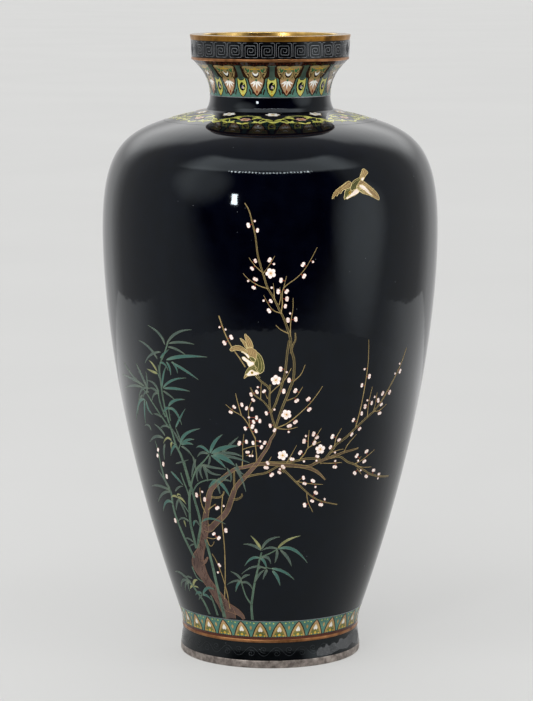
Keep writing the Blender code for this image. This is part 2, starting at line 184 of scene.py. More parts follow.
finishes = {
    # black and blue grounds: so dark that the eye reads little but their gloss
    "midnightBlue": enamel("midnight blue enamel", "#010105", "#02030a"),
    "footBlack": enamel("black enamel", "#040506", "#08090b", rough=0.05),
    # opaque border enamels: flat, slightly chalky colours under the same gloss
    "seaGreen": enamel("sea green enamel", "#3b6156", "#4f7768", "#30504a"),
    "stemGreen": enamel("dark green enamel", "#2c3a33", "#43544b"),
    "leafGreen": enamel("leaf green enamel", "#1f5438", "#34734c"),
    "mossGreen": enamel("moss green enamel", "#454f29", "#626a38"),
    "limeYellow": enamel("lime yellow enamel", "#a8a850", "#c2c068", "#8f8f42"),
    "goldYellow": enamel("golden yellow enamel", "#a38226", "#c0a040"),
    "orange": enamel("amber enamel", "#a8792c", "#c49a48"),
    "oliveGold": enamel("olive gold enamel", "#5f562c", "#80743e", "#4b4424"),
    "ochre": enamel("ochre enamel", "#8c7444", "#a88c58", "#6f5a34"),
    "oliveTan": enamel("olive tan enamel", "#83704a", "#a08a5c", "#665435"),
    "fleshTan": enamel("tan enamel", "#98785a", "#b08c68", "#82644a"),
    "rust": enamel("rust red enamel", "#63240f", "#7e3316"),
    "teaBrown": enamel("tea brown enamel", "#1c0d09", "#2a140d"),
    "teaDot": enamel("chestnut enamel", "#3c1a10", "#4e2618"),
    "darkBrown": enamel("dark brown enamel", "#1d100b", "#2c1810"),
    "mauve": enamel("mauve enamel", "#8d7f86", "#a89aa0"),
    "white": enamel("white enamel", "#d9d8d2", "#efeeea"),
    "mutedWhite": enamel("muted white enamel", "#bcb9ae", "#d6d3ca"),
    "rosePink": enamel("rose pink enamel", "#a9806f", "#c49c8a"),
    # blossoms: milky white that warms towards the root of each petal
    "petal": enamel("pinkish white enamel", "#dfcbc4", "#efe2dd",
                    tone=[(0.0, "#dcb8a6"), (0.35, "#ecdcd4"), (1.0, "#f4ebe7")]),
    "bud": enamel("bud pink enamel", "#dcc8bf", "#f0e4de"),
    "calyx": enamel("calyx red enamel", "#6a2c20", "#8d4632"),
    # wood: browns with a darker grain, from the trunk out to the twigs
    "bark": enamel("bark brown enamel", "#46342e", "#604a40", "#352722"),
    "branch": enamel("branch brown enamel", "#4a3a2b", "#64503b", "#382c20"),
    "twig": enamel("olive brown enamel", "#3b3622", "#544b30", "#2c281a"),
    # bamboo: dull greens that shift along each leaf
    "leaf": enamel("bamboo green enamel", "#32504a", "#47665f",
                   tone=[(0.0, "#5c7366"), (0.3, "#385a52"), (0.75, "#355650"), (1.0, "#4c5a53")]),
    "leafGrey": enamel("faded bamboo enamel", "#37443f", "#4f5b55",
                       tone=[(0.0, "#5c6558"), (0.4, "#3e4c46"), (1.0, "#47514c")]),
    "leafYellow": enamel("yellowed bamboo enamel", "#6c6c46", "#8d8c5e", "#575937"),
    "culm": enamel("culm green enamel", "#3a4f43", "#506656", "#2d3f35"),
    # birds: olive backs, tan wings and cream bellies
    "olive": enamel("olive green enamel", "#3d3c17", "#57552a", "#6b6a35"),
    "cream": enamel("cream enamel", "#d8c6b8", "#ebded4"),
    "wingTan": enamel("wing tan enamel", "#755d3c", "#937850", "#5a472c"),
    # enamel inside and under the vase, fired but never polished
    "counter": enamel("counter enamel", "#0d1a26", "#16283a", rough=0.2, ripple=4),
    # ground-down patch of the foot: the black gone matt and grey
    "wornBlack": enamel("worn black enamel", "#333435", "#4e4f50", "#6a6a6c", rough=0.45),
    # wires of the picture: drawn brass and copper, so thin that the enamel's colour dulls them
    "twigWire": metal("toned brass wire", "#a08b5a", "#867248", "#5a4b2e", 0.5, 2.0, 0.4, 0.35),
    "barkWire": metal("dark copper wire", "#8a684c", "#70503a", "#4a3426", 0.5, 2.0, 0.4, 0.35),
    "leafWire": metal("greened brass wire", "#66765f", "#52624f", "#3a473d", 0.5, 2.0, 0.4, 0.3),
    "petalWire": metal("pale brass wire", "#c9a898", "#b08f80", "#8a6c60", 0.5, 2.0, 0.4, 0.3),
    "brightWire": metal("bright brass wire", "#dccb92", "#c4b078", "#96844f", 0.45, 2.0, 0.4, 0.4),
    # border wires, filed flat: they give the eye thin pale lines
    "brassWire": metal("brass wire", "#cdb27a", "#b3955c", "#8c7040", 0.42, 3.0, 0.4),
    "silverWire": metal("silver wire", "#9a9ca0", "#828488", "#5c5e62", 0.45, 3.0, 0.4),
    "dullWire": metal("blackened silver wire", "#4c4f52", "#3a3d40", "#282a2c", 0.5, 3.0, 0.4),
    # fittings: worn gilding on copper, and bare metal gone brown
    "rimGilt": metal("patinated gilt copper", "#a97b30", "#8c6224", "#5a3c14", 0.34, 5.0, 0.6),
    # top face of the lip: polished gilt copper, painted much paler than the rim to stand for the sheen of light on it
    "lipTopPaintedSheen": metal("polished gilt copper with painted sheen", "#c9b797", "#a8906a", "#745b3d", 0.16, 9.0, 0.3),
    "giltCopper": metal("gilt copper", "#dcc184", "#c3a15c", "#8c6b36", 0.25, 9.0, 0.5),
    "copperBand": metal("toned copper", "#a87850", "#8a5e3c", "#55361f", 0.34, 4.0, 0.6),
    "tarnishedSilver": metal("tarnished silver", "#b8aea6", "#8f8680", "#5c544f", 0.40, 2.2, 0.7),
    "rawCopper": metal("raw copper", "#c5794f", "#a25c38", "#5d3420", 0.45, 6.0, 0.6),
}
print("materials made")


# The wall, in millimetres from the axis and up: every piece is placed on it by an angle and a height.
wall = {
    "lip": [(23.7, 185.0), (23.7, 184.7), (23.45, 183.5), (23.25, 181.0), (23.25, 178.5)],
    "neck": [(23.1, 177.7), (16.4, 172.1), (17.7, 165.5), (18.4, 163.9)],
    "shoulder": [(18.9, 163.0), (40.8, 157.8), (49.8, 156.2), (49.8, 127)],
    "belly": [(49.8, 127), (49.8, 111.9), (47.4, 71.4), (27.9, 14.5)],
    "waist": [(27.9, 14.5), (26.1, 10.4), (26.1, 6.7), (27.0, 2.4)],
    "foot": [(27.0, 0.0)],
}
enamelDepth = 1.0  # thickness of the border fields
slotDepth = 0.12   # how deep wires and cells are let into the field under them
apart = 0.0025     # step in height between pieces that cross, so that no two faces lie in one place


def cubic(handles, steps):
    t = np.linspace(0, 1, steps + 1)[:, None]
    a, b, c, d = (np.array(handle, float) for handle in handles)
    return (1 - t) ** 3 * a + 3 * (1 - t) ** 2 * t * b + 3 * (1 - t) * t ** 2 * c + t ** 3 * d


wallLine = np.concatenate([np.array(wall["lip"]), cubic(wall["neck"], 120), cubic(wall["shoulder"], 400),
                           cubic(wall["belly"], 200)[1:], cubic(wall["waist"], 60)[1:], np.array(wall["foot"])])
wallUp = wallLine[::-1]  # from the foot up, for looking heights up
wallLength = np.concatenate([[0], np.cumsum(np.linalg.norm(np.diff(wallUp, axis=0), axis=1))])


def radiusAt(height):
    return np.interp(height, wallUp[:, 1], wallUp[:, 0])


def shoulderHeight(radius):
    line = cubic(wall["shoulder"], 400)
    return np.interp(radius, line[:, 0], line[:, 1])


def onWall(angle, height, lift=0.0):
    angle, height = np.radians(np.asarray(angle, float)), np.asarray(height, float)
    radius = radiusAt(height)
    slope = (radiusAt(height + 0.05) - radiusAt(height - 0.05)) / 0.1
    steep = np.sqrt(1 + slope ** 2)
    radius = radius + lift / steep
    height = height - lift * slope / steep
    return np.stack([radius * np.sin(angle), -radius * np.cos(angle), height], axis=-1) * mm


def putOn(piece, finish, nodes=()):
    piece.data.materials.clear()
    piece.data.materials.append(finishes[finish])
    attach(piece, "root")
    if nodes:
        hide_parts(*nodes)
    return piece


def inScene(name, data):
    thing = bpy.data.objects.new(name, data)
    bpy.context.scene.collection.objects.link(thing)
    return thing


def smoothPiece(name, mesh, sharpAngle):
    mesh.polygons.foreach_set("use_smooth", [True] * len(mesh.polygons))
    mesh.set_sharp_from_angle(angle=math.radians(sharpAngle))
    return inScene(name, mesh)


def meshOf(name, points, faces):
    mesh = bpy.data.meshes.new(name)
    mesh.from_pydata([tuple(p) for p in points], [], faces)
    return mesh


def turned(name, section, finish, nodes=(), steps=192, onAxis=False):
    # section runs round the cut wall, in (radius, height); onAxis ones start and end on the axis
    shape = bmesh.new()
    points = [shape.verts.new((r * mm, 0, z * mm)) for r, z in section]
    segments = [shape.edges.new(pair) for pair in zip(points, points[1:])]
    if not onAxis:
        segments.append(shape.edges.new((points[-1], points[0])))
    bmesh.ops.spin(shape, geom=points + segments, axis=(0, 0, 1), cent=(0, 0, 0), angle=2 * math.pi,
                   steps=steps, use_merge=True)
    bmesh.ops.remove_doubles(shape, verts=shape.verts, dist=0.0005 * mm)
    bmesh.ops.recalc_face_normals(shape, faces=shape.faces)
    mesh = bpy.data.meshes.new(name)
    shape.to_mesh(mesh)
    shape.free()
    return putOn(smoothPiece(name, mesh, 35), finish, nodes)


def skin(top, bottom, steps):
    # closed section of a border field between two heights, following the wall
    outer = [(float(radiusAt(h)), h) for h in np.linspace(top, bottom, steps + 1)]
    return outer + [(r - enamelDepth, h) for r, h in reversed(outer)]


def halfRound(radius, middle, reach, tall, turns=(90, 60, 30, 0, -30, -60, -90)):
    # rounded outer face of a ring, from its top to its bottom
    return [(radius + reach * math.cos(t), middle + tall * math.sin(t)) for t in np.radians(turns)]


def offsetSkin(line, face, back):
    # closed section between two depths under a line that runs down the outer side
    line = np.array(line, float)
    along = np.gradient(line, axis=0)
    along /= np.linalg.norm(along, axis=1)[:, None]
    normal = np.stack([-along[:, 1], along[:, 0]], axis=1)
    return [tuple(p) for p in line - face * normal] + [tuple(p) for p in (line - back * normal)[::-1]]


def smoothLine(points, steps=6, closed=False):
    # a curve through all the points (Catmull-Rom)
    points = [np.array(p, float) for p in points]
    count = len(points)
    line = []
    for i in range(count if closed else count - 1):
        if closed:
            a, b, c, d = (points[(i + k) % count] for k in (-1, 0, 1, 2))
        else:
            a, b, c, d = points[max(i - 1, 0)], points[i], points[i + 1], points[min(i + 2, count - 1)]
        for t in np.arange(steps) / steps:
            line.append(0.5 * (2 * b + (c - a) * t + (2 * a - 5 * b + 4 * c - d) * t ** 2
                               + (3 * b - a - 3 * c + d) * t ** 3))
    if not closed:
        line.append(points[-1])
    return np.array(line)


def local(points, angle, height):
    # millimetres across and up from a place on the wall, as angles and heights
    points = np.array(points, float)
    return np.stack([angle + np.degrees(points[:, 0] / radiusAt(height)), height + points[:, 1]], axis=1)


def cells(name, outlines, finish, slotName, lift=0.03, nodes=(), grid=1.3, anchors=None, stagger=False):
    # Closed plates of enamel that follow the wall, one for each outline of (angle, height).
    points, faces, tones = [], [], []
    for number, outline in enumerate(outlines):
        outline = np.array(outline, float)
        middle = outline.mean(axis=0)
        scale = float(radiusAt(middle[1]))
        flat = np.stack([np.radians(outline[:, 0] - middle[0]) * scale,
                         np.interp(outline[:, 1], wallUp[:, 1], wallLength)], axis=1)
        count = len(flat)
        low, high = flat.min(axis=0), flat.max(axis=0)
        inner = [Vector((x, y)) for x in np.arange(low[0] + grid / 2, high[0], grid)
                 for y in np.arange(low[1] + grid / 2, high[1], grid)]
        result = geometry.delaunay_2d_cdt([Vector(p) for p in flat] + inner, [], [list(range(count))], 1, 1e-5)
        spots = np.array([tuple(p) for p in result[0]])
        used = sorted({i for face in result[2] for i in face})
        renumber = {old: new for new, old in enumerate(used)}
        spots = spots[used]
        triangles = []
        for face in result[2]:
            a, b, c = (renumber[i] for i in face)
            turn = np.cross(spots[b] - spots[a], spots[c] - spots[a])
            if abs(turn) > 1e-9:
                triangles.append((a, b, c) if turn > 0 else (a, c, b))
        angle = middle[0] + np.degrees(spots[:, 0] / scale)
        height = np.interp(spots[:, 1], wallLength, wallUp[:, 1])
        sides = dict.fromkeys(side for a, b, c in triangles for side in ((a, b), (b, c), (c, a)))
        rim = [side for side in sides if side[::-1] not in sides]
        start, size = len(points), len(spots)
        points.extend(onWall(angle, height, lift + (number % 8) * apart * stagger))
        points.extend(onWall(angle, height, -slotDepth))
        faces.extend((start + a, start + b, start + c) for a, b, c in triangles)
        faces.extend((start + size + a, start + size + c, start + size + b) for a, b, c in triangles)
        faces.extend((start + a, start + size + a, start + size + b, start + b) for a, b in rim)
        root = np.array(anchors[number]) if anchors else middle
        away = np.hypot(np.radians(angle - root[0]) * scale, height - root[1])
        tones.extend(list(away / away.max()) * 2)
    piece = smoothPiece(name, meshOf(name, points, faces), 40)
    piece.data.attributes.new("tone", "FLOAT", "POINT").data.foreach_set("value", tones)
    return putOn(piece, finish, nodes)


def wires(name, paths, finish, slotName, width=0.2, proud=0.05, nodes=(), stagger=False):
    # Flat wires with rounded tops, bent on edge along each path of (angle, height).
    # A path may carry its own width at each point as a third number. A path that ends where it starts is closed.
    points, faces = [], []
    across = np.array([-0.5, -0.42, 0.0, 0.42, 0.5])
    up = np.array([-slotDepth, 0.6 * proud, proud, 0.6 * proud, -slotDepth])
    for number, path in enumerate(paths):
        path = np.array(path, float)
        wide = path[:, 2] if path.shape[1] > 2 else np.full(len(path), width)
        closed = np.allclose(path[0, :2], path[-1, :2])
        if closed:
            path, wide = path[:-1], wide[:-1]
        base, above = onWall(path[:, 0], path[:, 1]), onWall(path[:, 0], path[:, 1], 1.0)
        normal = (above - base) / mm
        if closed:
            along = np.roll(base, -1, axis=0) - np.roll(base, 1, axis=0)
        else:
            along = np.gradient(base, axis=0)
        along /= np.maximum(np.linalg.norm(along, axis=1)[:, None], 1e-12)
        side = np.cross(along, normal)
        ring = (base[:, None] + side[:, None] * (across[None, :] * wide[:, None] * mm)[..., None]
                + normal[:, None] * ((up + (number % 8) * apart * stagger) * mm)[None, :, None])
        start, count = len(points), len(path)
        points.extend(ring.reshape(-1, 3))
        for i in range(count if closed else count - 1):
            j = (i + 1) % count
            for k in range(5):
                m = (k + 1) % 5
                faces.append((start + 5 * i + k, start + 5 * j + k, start + 5 * j + m, start + 5 * i + m))
        if not closed:
            faces.append([start + k for k in range(5)])
            faces.append([start + 5 * (count - 1) + k for k in reversed(range(5))])
    return putOn(smoothPiece(name, meshOf(name, points, faces), 60), finish, nodes)


def roundAt(angle, height, radius, count=10, tall=1.0):
    turn = np.linspace(0, 2 * math.pi, count, endpoint=False)
    return local(np.stack([radius * np.cos(turn), tall * radius * np.sin(turn)], axis=1), angle, height)


def loop(outline):
    return np.vstack([outline, outline[:1]])


# The lip: gilt rim, key fret, round band.
lip = {"rimDepth": 3.6, "rimEdge": 0.35, "rimBottom": 183.5, "fretBottom": 178.5, "bandBottom": 177.6,
       "bandBack": 22.0, "frets": 30, "fretStart": -8.1, "fretWire": 0.14, "fretCorner": 0.38}

rimTop, rimOuter = wall["lip"][0][1], wall["lip"][0][0]
rimInner, outerEdge = rimOuter - lip["rimDepth"], lip["rimEdge"] * 0.6
rimSection = [(rimInner, lip["rimBottom"])]
rimSection += [(rimInner + lip["rimEdge"] * (1 - math.cos(t)), rimTop - lip["rimEdge"] * (1 - math.sin(t)))
               for t in np.radians([0, 30, 60, 90])]
rimSection += [(rimOuter - outerEdge * (1 - math.sin(t)), rimTop - outerEdge * (1 - math.cos(t)))
               for t in np.radians([0, 22, 45, 68, 90])]
lipRim = turned("lipRim", rimSection + [(wall["lip"][2][0], lip["rimBottom"])], "rimGilt", ["lip_rim"])
lipRim.data.materials.append(finishes["lipTopPaintedSheen"])
lipRim.data.materials.append(finishes["giltCopper"])
for polygon in lipRim.data.polygons:  # the top face is polished, and its pale colour is a painted sheen of the light it catches; the inner face kept its gilding
    inward = polygon.normal.x * polygon.center.x + polygon.normal.y * polygon.center.y < 0
    polygon.material_index = 1 if polygon.normal.z > 0.9 else 2 if inward else 0
turned("lipFretEnamel", skin(lip["rimBottom"], lip["fretBottom"], 6), "footBlack",
       ["lip_fret_enamel"])
bandMiddle = (lip["fretBottom"] + lip["bandBottom"]) / 2
bandHalf = (lip["fretBottom"] - lip["bandBottom"]) / 2
turned("lipLowerBand", halfRound(float(radiusAt(bandMiddle)) - 0.12, bandMiddle, 0.24, bandHalf)
       + [(lip["bandBack"], lip["bandBottom"]), (lip["bandBack"], lip["fretBottom"])], "copperBand",
       ["lip_lower_band"])


def squareTurns(corners, radius):
    # a wire bent round square corners
    corners = [np.array(c, float) for c in corners]
    line = [corners[0]]
    for before, corner, after in zip(corners, corners[1:], corners[2:]):
        come, go = before - corner, after - corner
        cut = min(radius, 0.45 * np.linalg.norm(come), 0.45 * np.linalg.norm(go))
        enter = corner + come / np.linalg.norm(come) * cut
        leave = corner + go / np.linalg.norm(go) * cut
        for t in (0, 0.5, 1):
            line.append((1 - t) ** 2 * enter + 2 * t * (1 - t) * corner + t ** 2 * leave)
    return line + [corners[-1]]


def fretPaths():
    # Each wire runs round one square and winds in to its middle.
    pitch = 360 / lip["frets"]
    tall = lip["rimBottom"] - lip["fretBottom"]
    cell = [(0.03, 0.14), (0.03, 0.92), (0.93, 0.92), (0.93, 0.09), (0.17, 0.09), (0.17, 0.76), (0.79, 0.76),
            (0.79, 0.24), (0.31, 0.24), (0.31, 0.61), (0.66, 0.61), (0.66, 0.39), (0.45, 0.39), (0.45, 0.49)]
    fretRadius = 23.3
    across = math.radians(pitch) * fretRadius
    line = squareTurns([(u * across, v * tall) for u, v in cell], lip["fretCorner"])
    return [[(lip["fretStart"] + k * pitch + math.degrees(x / fretRadius), lip["fretBottom"] + y) for x, y in line]
            for k in range(lip["frets"])]


wires("fretWires", fretPaths(), "silverWire", "tarnished_silver", lip["fretWire"])
print("lip made")


# The neck: dotted line, lappet border, plain black.
neck = {"dotTop": 177.6, "top": 176.5, "bottom": 167.2, "root": 163.0, "lappets": 13, "start": 1.5,
        "outline": 0.58, "middleRadius": 18.2}


def mirrored(half):
    # the whole outline of a shape that is the same left and right, from its right half top to bottom
    return list(half) + [(-x, y) for x, y in reversed(half) if abs(x) > 1e-6]


def bothSides(*points):
    # a curve and its mirror image
    return [smoothLine([(s * x, y) for x, y in points], 3) for s in (-1, 1)]


def repeated(outlines, count, start):
    pitch = 360 / count
    return [[(start + k * pitch + p[0], *p[1:]) for p in outline] for k in range(count) for outline in outlines]


def pointedOval(length, width, fullness):
    # along x from its root to its tip
    points = [(t * length, width / 2 * math.sin(math.pi * t ** fullness)) for t in np.linspace(0, 1, 6)]
    return points + [(u, -v) for u, v in reversed(points[1:-1])]


def petalShape(x, y, length, width, lean):
    # a petal from its root, in degrees across and millimetres up; lean is degrees from straight down
    s, c = math.sin(math.radians(lean)), math.cos(math.radians(lean))
    return [(x + math.degrees((u * s + v * c) / neck["middleRadius"]), y - u * c + v * s)
            for u, v in pointedOval(length, width, 0.8)]


turned("neckDotEnamel", skin(neck["dotTop"], neck["top"], 4), "teaBrown", ["neck_dot_enamel"])
turned("neckLappetGround", skin(neck["top"], neck["bottom"], 28), "seaGreen",
       ["neck_lappet_enamel"])
turned("neckBlackEnamel", skin(neck["bottom"], neck["root"], 16), "midnightBlue",
       ["neck_black_enamel"])
wires("neckBorderWire", [[(a, neck["bottom"]) for a in range(0, 361, 2)]], "silverWire", "copper_band", 0.28,
      0.06, ["neck_border_wire"])
cells("neckDots", [roundAt(a, 177.0 + 0.18 * (-1) ** i, 0.22, 6) for i, a in enumerate(np.arange(0, 360, 2.5))],
      "teaDot", "brown_enamel", 0.02)

# Shapes of the border, in (degrees, height) from the middle line of a lappet or of a teardrop.
lappetHalf = [(0, 176.45), (10.4, 176.45), (10.3, 175.3), (9.9, 174.5), (9.1, 173.8), (8.1, 173.2), (7.4, 172.7),
              (7.1, 172.0), (6.6, 171.2), (5.3, 170.0), (3.3, 168.9), (1.5, 168.15), (0, 167.7)]
lappet = mirrored(lappetHalf)
shield = mirrored([(0, 172.5), (6.9, 172.5), *lappetHalf[7:-1], (0, 167.8)])
volutes = bothSides((9.9, 174.2), (8.6, 172.95), (6.9, 172.75), (6.0, 173.4), (6.5, 174.1), (7.4, 173.9))
fan = [petalShape(0.5 * lean / 60, 172.0, 2.35 - 0.008 * abs(lean), 0.50, lean) for lean in (-62, -33, 0, 33, 62)]
crescent = mirrored([(0, 174.15), (1.2, 174.25), (2.5, 174.75), (2.2, 174.05), (1.2, 173.65), (0, 173.5)])
shadow = mirrored([(0, 174.0), (3.0, 174.5), (2.7, 173.7), (1.5, 173.1), (0, 172.95)])
greens = [roundAt(0, 172.3, 0.32, 8)]
greens += [petalShape(s * x, y, length, width, s * lean) for x, y, length, width, lean in
           ((4.9, 175.6, 1.3, 0.6, 25), (7.4, 175.9, 0.9, 0.45, 0), (1.6, 175.2, 0.9, 0.35, 60)) for s in (1, -1)]
yellows = [roundAt(0, 175.7, 0.36, 8)] + [petalShape(s * 0.8, 175.5, 1.3, 0.3, s * 95) for s in (1, -1)]
scrolls = bothSides((9.3, 176.0), (9.0, 175.0), (7.9, 174.5), (6.8, 174.9), (7.1, 175.5), (7.9, 175.4))
scrolls += bothSides((3.5, 172.8), (4.6, 173.4), (4.6, 174.4), (3.6, 175.0), (3.0, 175.8))
teardrop = mirrored([(0, 172.3), (1.6, 172.35), (3.7, 172.9), (4.6, 171.5), (4.6, 170.2), (3.7, 168.9), (1.8, 167.9),
                     (0, 167.4)])
eye = mirrored([(0, 171.7), (1.2, 171.5), (2.6, 171.0), (3.1, 170.3), (2.4, 169.6), (1.2, 169.25), (0, 169.15)])
tips = [petalShape(0, 169.2, 0.7, 0.5, 0), roundAt(0, 168.0, 0.32, 8)]
stem = mirrored([(0, 176.4), (2.0, 176.4), (2.0, 174.5), (2.6, 173.2), (2.2, 172.75), (0, 172.6)])
gap = ((2.0, 176.4), (3.5, 176.4), (3.6, 175.3), (4.0, 174.5), (4.8, 173.8), (5.7, 173.2), (5.3, 172.9), (3.9, 172.9),
       (2.6, 173.2), (2.0, 174.5))
strokes = bothSides((2.7, 176.4), (2.7, 174.8), (3.5, 173.3)) + bothSides((6.4, 169.6), (7.4, 168.8), (8.1, 168.0))
strokes += bothSides((9.4, 169.0), (10.2, 168.2))

onLappet = neck["start"] + 180 / neck["lappets"]
onDrop = neck["start"]
for make, name, start, shapes, finish, slotName, *sizes in (
        (cells, "lappetFields", onLappet, [lappet], "oliveTan", "brown_enamel", 0.02),
        (cells, "lappetShields", onLappet, [shield], "fleshTan", "brown_enamel", 0.035),
        (wires, "lappetOutlines", onLappet, [loop(lappet)], "darkBrown", "brown_enamel", neck["outline"], 0.05),
        (wires, "lappetVolutes", onLappet, volutes, "darkBrown", "brown_enamel", 0.42, 0.055),
        (cells, "lappetShadows", onLappet, [shadow], "darkBrown", "brown_enamel", 0.04),
        (cells, "lappetWhites", onLappet, fan + [crescent], "white", "petal_enamel", 0.05),
        (cells, "lappetGreens", onLappet, greens, "leafGreen", "green_enamel", 0.05),
        (cells, "lappetDrops", onLappet, [petalShape(0, 169.4, 1.15, 0.62, 0)], "rust", "brown_enamel", 0.05),
        (cells, "lappetYellows", onLappet, yellows, "goldYellow", "gilt_copper", 0.05),
        (wires, "lappetScrolls", onLappet, scrolls, "darkBrown", "brown_enamel", 0.24, 0.045),
        (cells, "teardrops", onDrop, [teardrop], "limeYellow", "green_enamel", 0.035),
        (wires, "teardropOutlines", onDrop, [loop(teardrop)], "darkBrown", "brown_enamel", 0.40, 0.05),
        (cells, "teardropEyes", onDrop, [eye], "footBlack", "midnight_enamel", 0.05),
        (cells, "teardropDots", onDrop, [roundAt(0, 170.25, 0.40, 8, 1.2)], "mauve", "petal_enamel", 0.06),
        (cells, "teardropTips", onDrop, tips, "goldYellow", "gilt_copper", 0.055),
        (cells, "lappetStems", onDrop, [stem], "stemGreen", "green_enamel", 0.03),
        (cells, "lappetGaps", onDrop, [[(s * x, y) for x, y in gap] for s in (-1, 1)], "darkBrown", "brown_enamel",
         0.022),
        (wires, "lappetStrokes", onDrop, strokes, "darkBrown", "brown_enamel", 0.45, 0.045)):
    make(name, repeated(shapes, neck["lappets"], start), finish, slotName, *sizes)
print("neck made")


# The shoulder: vine scroll with flowers.
shoulder = {"outer": 31.3, "repeats": 10, "whiteStart": 2.0, "pinkStart": 20.0, "depth": 0.9,
            "whiteRadius": 21.3, "pinkRadius": 26.0}

shoulderLine = cubic(wall["shoulder"], 400)
shoulderEnd = (shoulder["outer"], float(shoulderHeight(shoulder["outer"])))
scrollLine = [tuple(p) for p in shoulderLine[::6] if p[0] < shoulder["outer"]] + [shoulderEnd]
turned("shoulderScrollEnamel", offsetSkin(scrollLine, 0, shoulder["depth"]), "midnightBlue",
       ["shoulder_scroll_enamel"])


def onShoulder(points, angle):
    # (degrees across, radius) turned to (angle, height)
    return [(angle + a, float(shoulderHeight(r)), *rest) for a, r, *rest in points]


def shoulderLeaf(angle, radius, length, width, lean):
    # a leaf on the shoulder; lean 0 points outwards, positive leans towards greater angles
    s, c = math.sin(math.radians(lean)), math.cos(math.radians(lean))
    return [(angle + math.degrees((u * s + v * c) / radius), radius + u * c - v * s)
            for u, v in pointedOval(length, width, 0.75)]


def shoulderFlower(radius, size):
    points = []
    for t in np.linspace(0, 2 * math.pi, 24, endpoint=False):
        reach = size * (0.86 + 0.14 * math.cos(6 * t))
        points.append((math.degrees(reach * math.cos(t) / radius), radius + 0.72 * reach * math.sin(t)))
    return points


# each leaf of the scroll: angle, radius, length, width, lean
scrollLeaves = ((1.5, 28.6, 3.2, 0.9, -115), (3.6, 27.4, 3.0, 0.9, 65), (6.2, 25.4, 3.0, 1.0, -60),
                (8.0, 24.6, 2.8, 0.9, 100), (10.5, 23.8, 2.6, 0.9, 35), (13.6, 22.9, 2.4, 0.8, -70),
                (8.4, 28.0, 2.6, 0.9, 70), (14.0, 28.6, 2.8, 0.9, 60), (12.0, 27.0, 2.4, 0.8, -30))
vines = [((0, 29.2), (3.5, 27.6), (6, 25.2), (10, 24.0), (13.5, 22.9), (18, 22.5)),
         ((6, 25.2), (8.6, 27.2), (8.2, 29.0), (6.6, 29.3))]
leafShapes, vinePaths, whiteFlowers, pinkFlowers, hearts = [], [], [], [], []
for k in range(shoulder["repeats"]):
    white, pink = (shoulder[start] + k * 360 / shoulder["repeats"] for start in ("whiteStart", "pinkStart"))
    whiteFlowers.append(onShoulder(shoulderFlower(shoulder["whiteRadius"], 2.2), white))
    pinkFlowers.append(onShoulder(shoulderFlower(shoulder["pinkRadius"], 2.0), pink))
    hearts.append(onShoulder(shoulderFlower(shoulder["pinkRadius"], 0.6), pink))
    hearts.append(onShoulder(shoulderFlower(shoulder["whiteRadius"], 0.7), white))
    for s in (-1, 1):
        for vine in vines:
            vinePaths.append(onShoulder(smoothLine([(s * a, r) for a, r in vine], 4), white))
        for angle, radius, length, width, lean in scrollLeaves:
            leafShapes.append(onShoulder(shoulderLeaf(s * angle, radius, length, width, s * lean), white))
cells("shoulderLeaves", leafShapes, "limeYellow", "green_enamel", 0.03)
cells("shoulderWhiteFlowers", whiteFlowers, "white", "petal_enamel", 0.04)
cells("shoulderPinkFlowers", pinkFlowers, "rosePink", "petal_enamel", 0.04)
cells("shoulderFlowerHearts", hearts, "goldYellow", "gilt_copper", 0.06)
wires("shoulderVines", vinePaths, "limeYellow", "green_enamel", 0.30, 0.045, stagger=True)
wires("shoulderWhiteWires", [loop(f) for f in whiteFlowers], "brassWire", "gilt_copper", 0.16, 0.06)
wires("shoulderPinkWires", [loop(f) for f in pinkFlowers + hearts[::2]], "darkBrown", "brown_enamel", 0.26, 0.065)
borderHeight = float(shoulderHeight(shoulder["outer"] + 0.15))
wires("shoulderBorderWire", [[(a, borderHeight) for a in range(0, 361, 2)]], "dullWire", "copper_band", 0.14, 0.02,
      ["shoulder_border_wire"])
print("shoulder made")


# The body: plain dark ground enamel, with nothing but its own depth.
groundLine = [shoulderEnd]
groundLine += [tuple(p) for p in shoulderLine[::5] if p[0] > shoulder["outer"] + 0.2]
groundLine += [tuple(p) for p in cubic(wall["belly"], 200)[2::3] if p[1] > wall["belly"][-1][1] + 0.1]
turned("bodyGroundEnamel", offsetSkin(groundLine + [wall["belly"][-1]], 0, shoulder["depth"]), "midnightBlue",
       ["body_ground_enamel"], steps=256)
print("ground made")


# The picture: plum tree, blossoms and buds, bamboo, birds. Stems run through (angle, height) or
# (angle, height, width) points, and 0 degrees is the middle of the front.
def stemLine(width, tipWidth, *points):
    # a stem that narrows from one width to the other
    count = len(points) - 1
    return smoothLine([(a, z, width + (tipWidth - width) * i / count) for i, (a, z) in enumerate(points)], 5)


def edges(line):
    # both edges of a stem of changing width
    line = np.array(line, float)
    radius = radiusAt(line[:, 1])
    across = np.gradient(np.radians(line[:, 0])) * radius
    up = np.gradient(line[:, 1])
    length = np.maximum(np.hypot(across, up), 1e-9)
    sideA, sideZ = np.degrees(-up / length / radius), across / length
    half = line[:, 2] / 2
    return (np.stack([line[:, 0] + sideA * half, line[:, 1] + sideZ * half], axis=1),
            np.stack([line[:, 0] - sideA * half, line[:, 1] - sideZ * half], axis=1))


def stemCells(name, lines, finish, slotName, lift, nodes=(), **more):
    cells(name, [np.vstack([left, right[::-1]]) for left, right in map(edges, lines)], finish, slotName, lift, nodes,
          **more)


plum = {
    "edgeWire": 0.12, "trunkWire": 0.14,
    "thinTwig": 0.42,  # a twig no wider than this is one wire, with no enamel
    "slender": 0.8,    # share of the drawn width that twigs and upper branches keep
    "barkMarks": 70, "barkMarkWidth": 0.13,
}

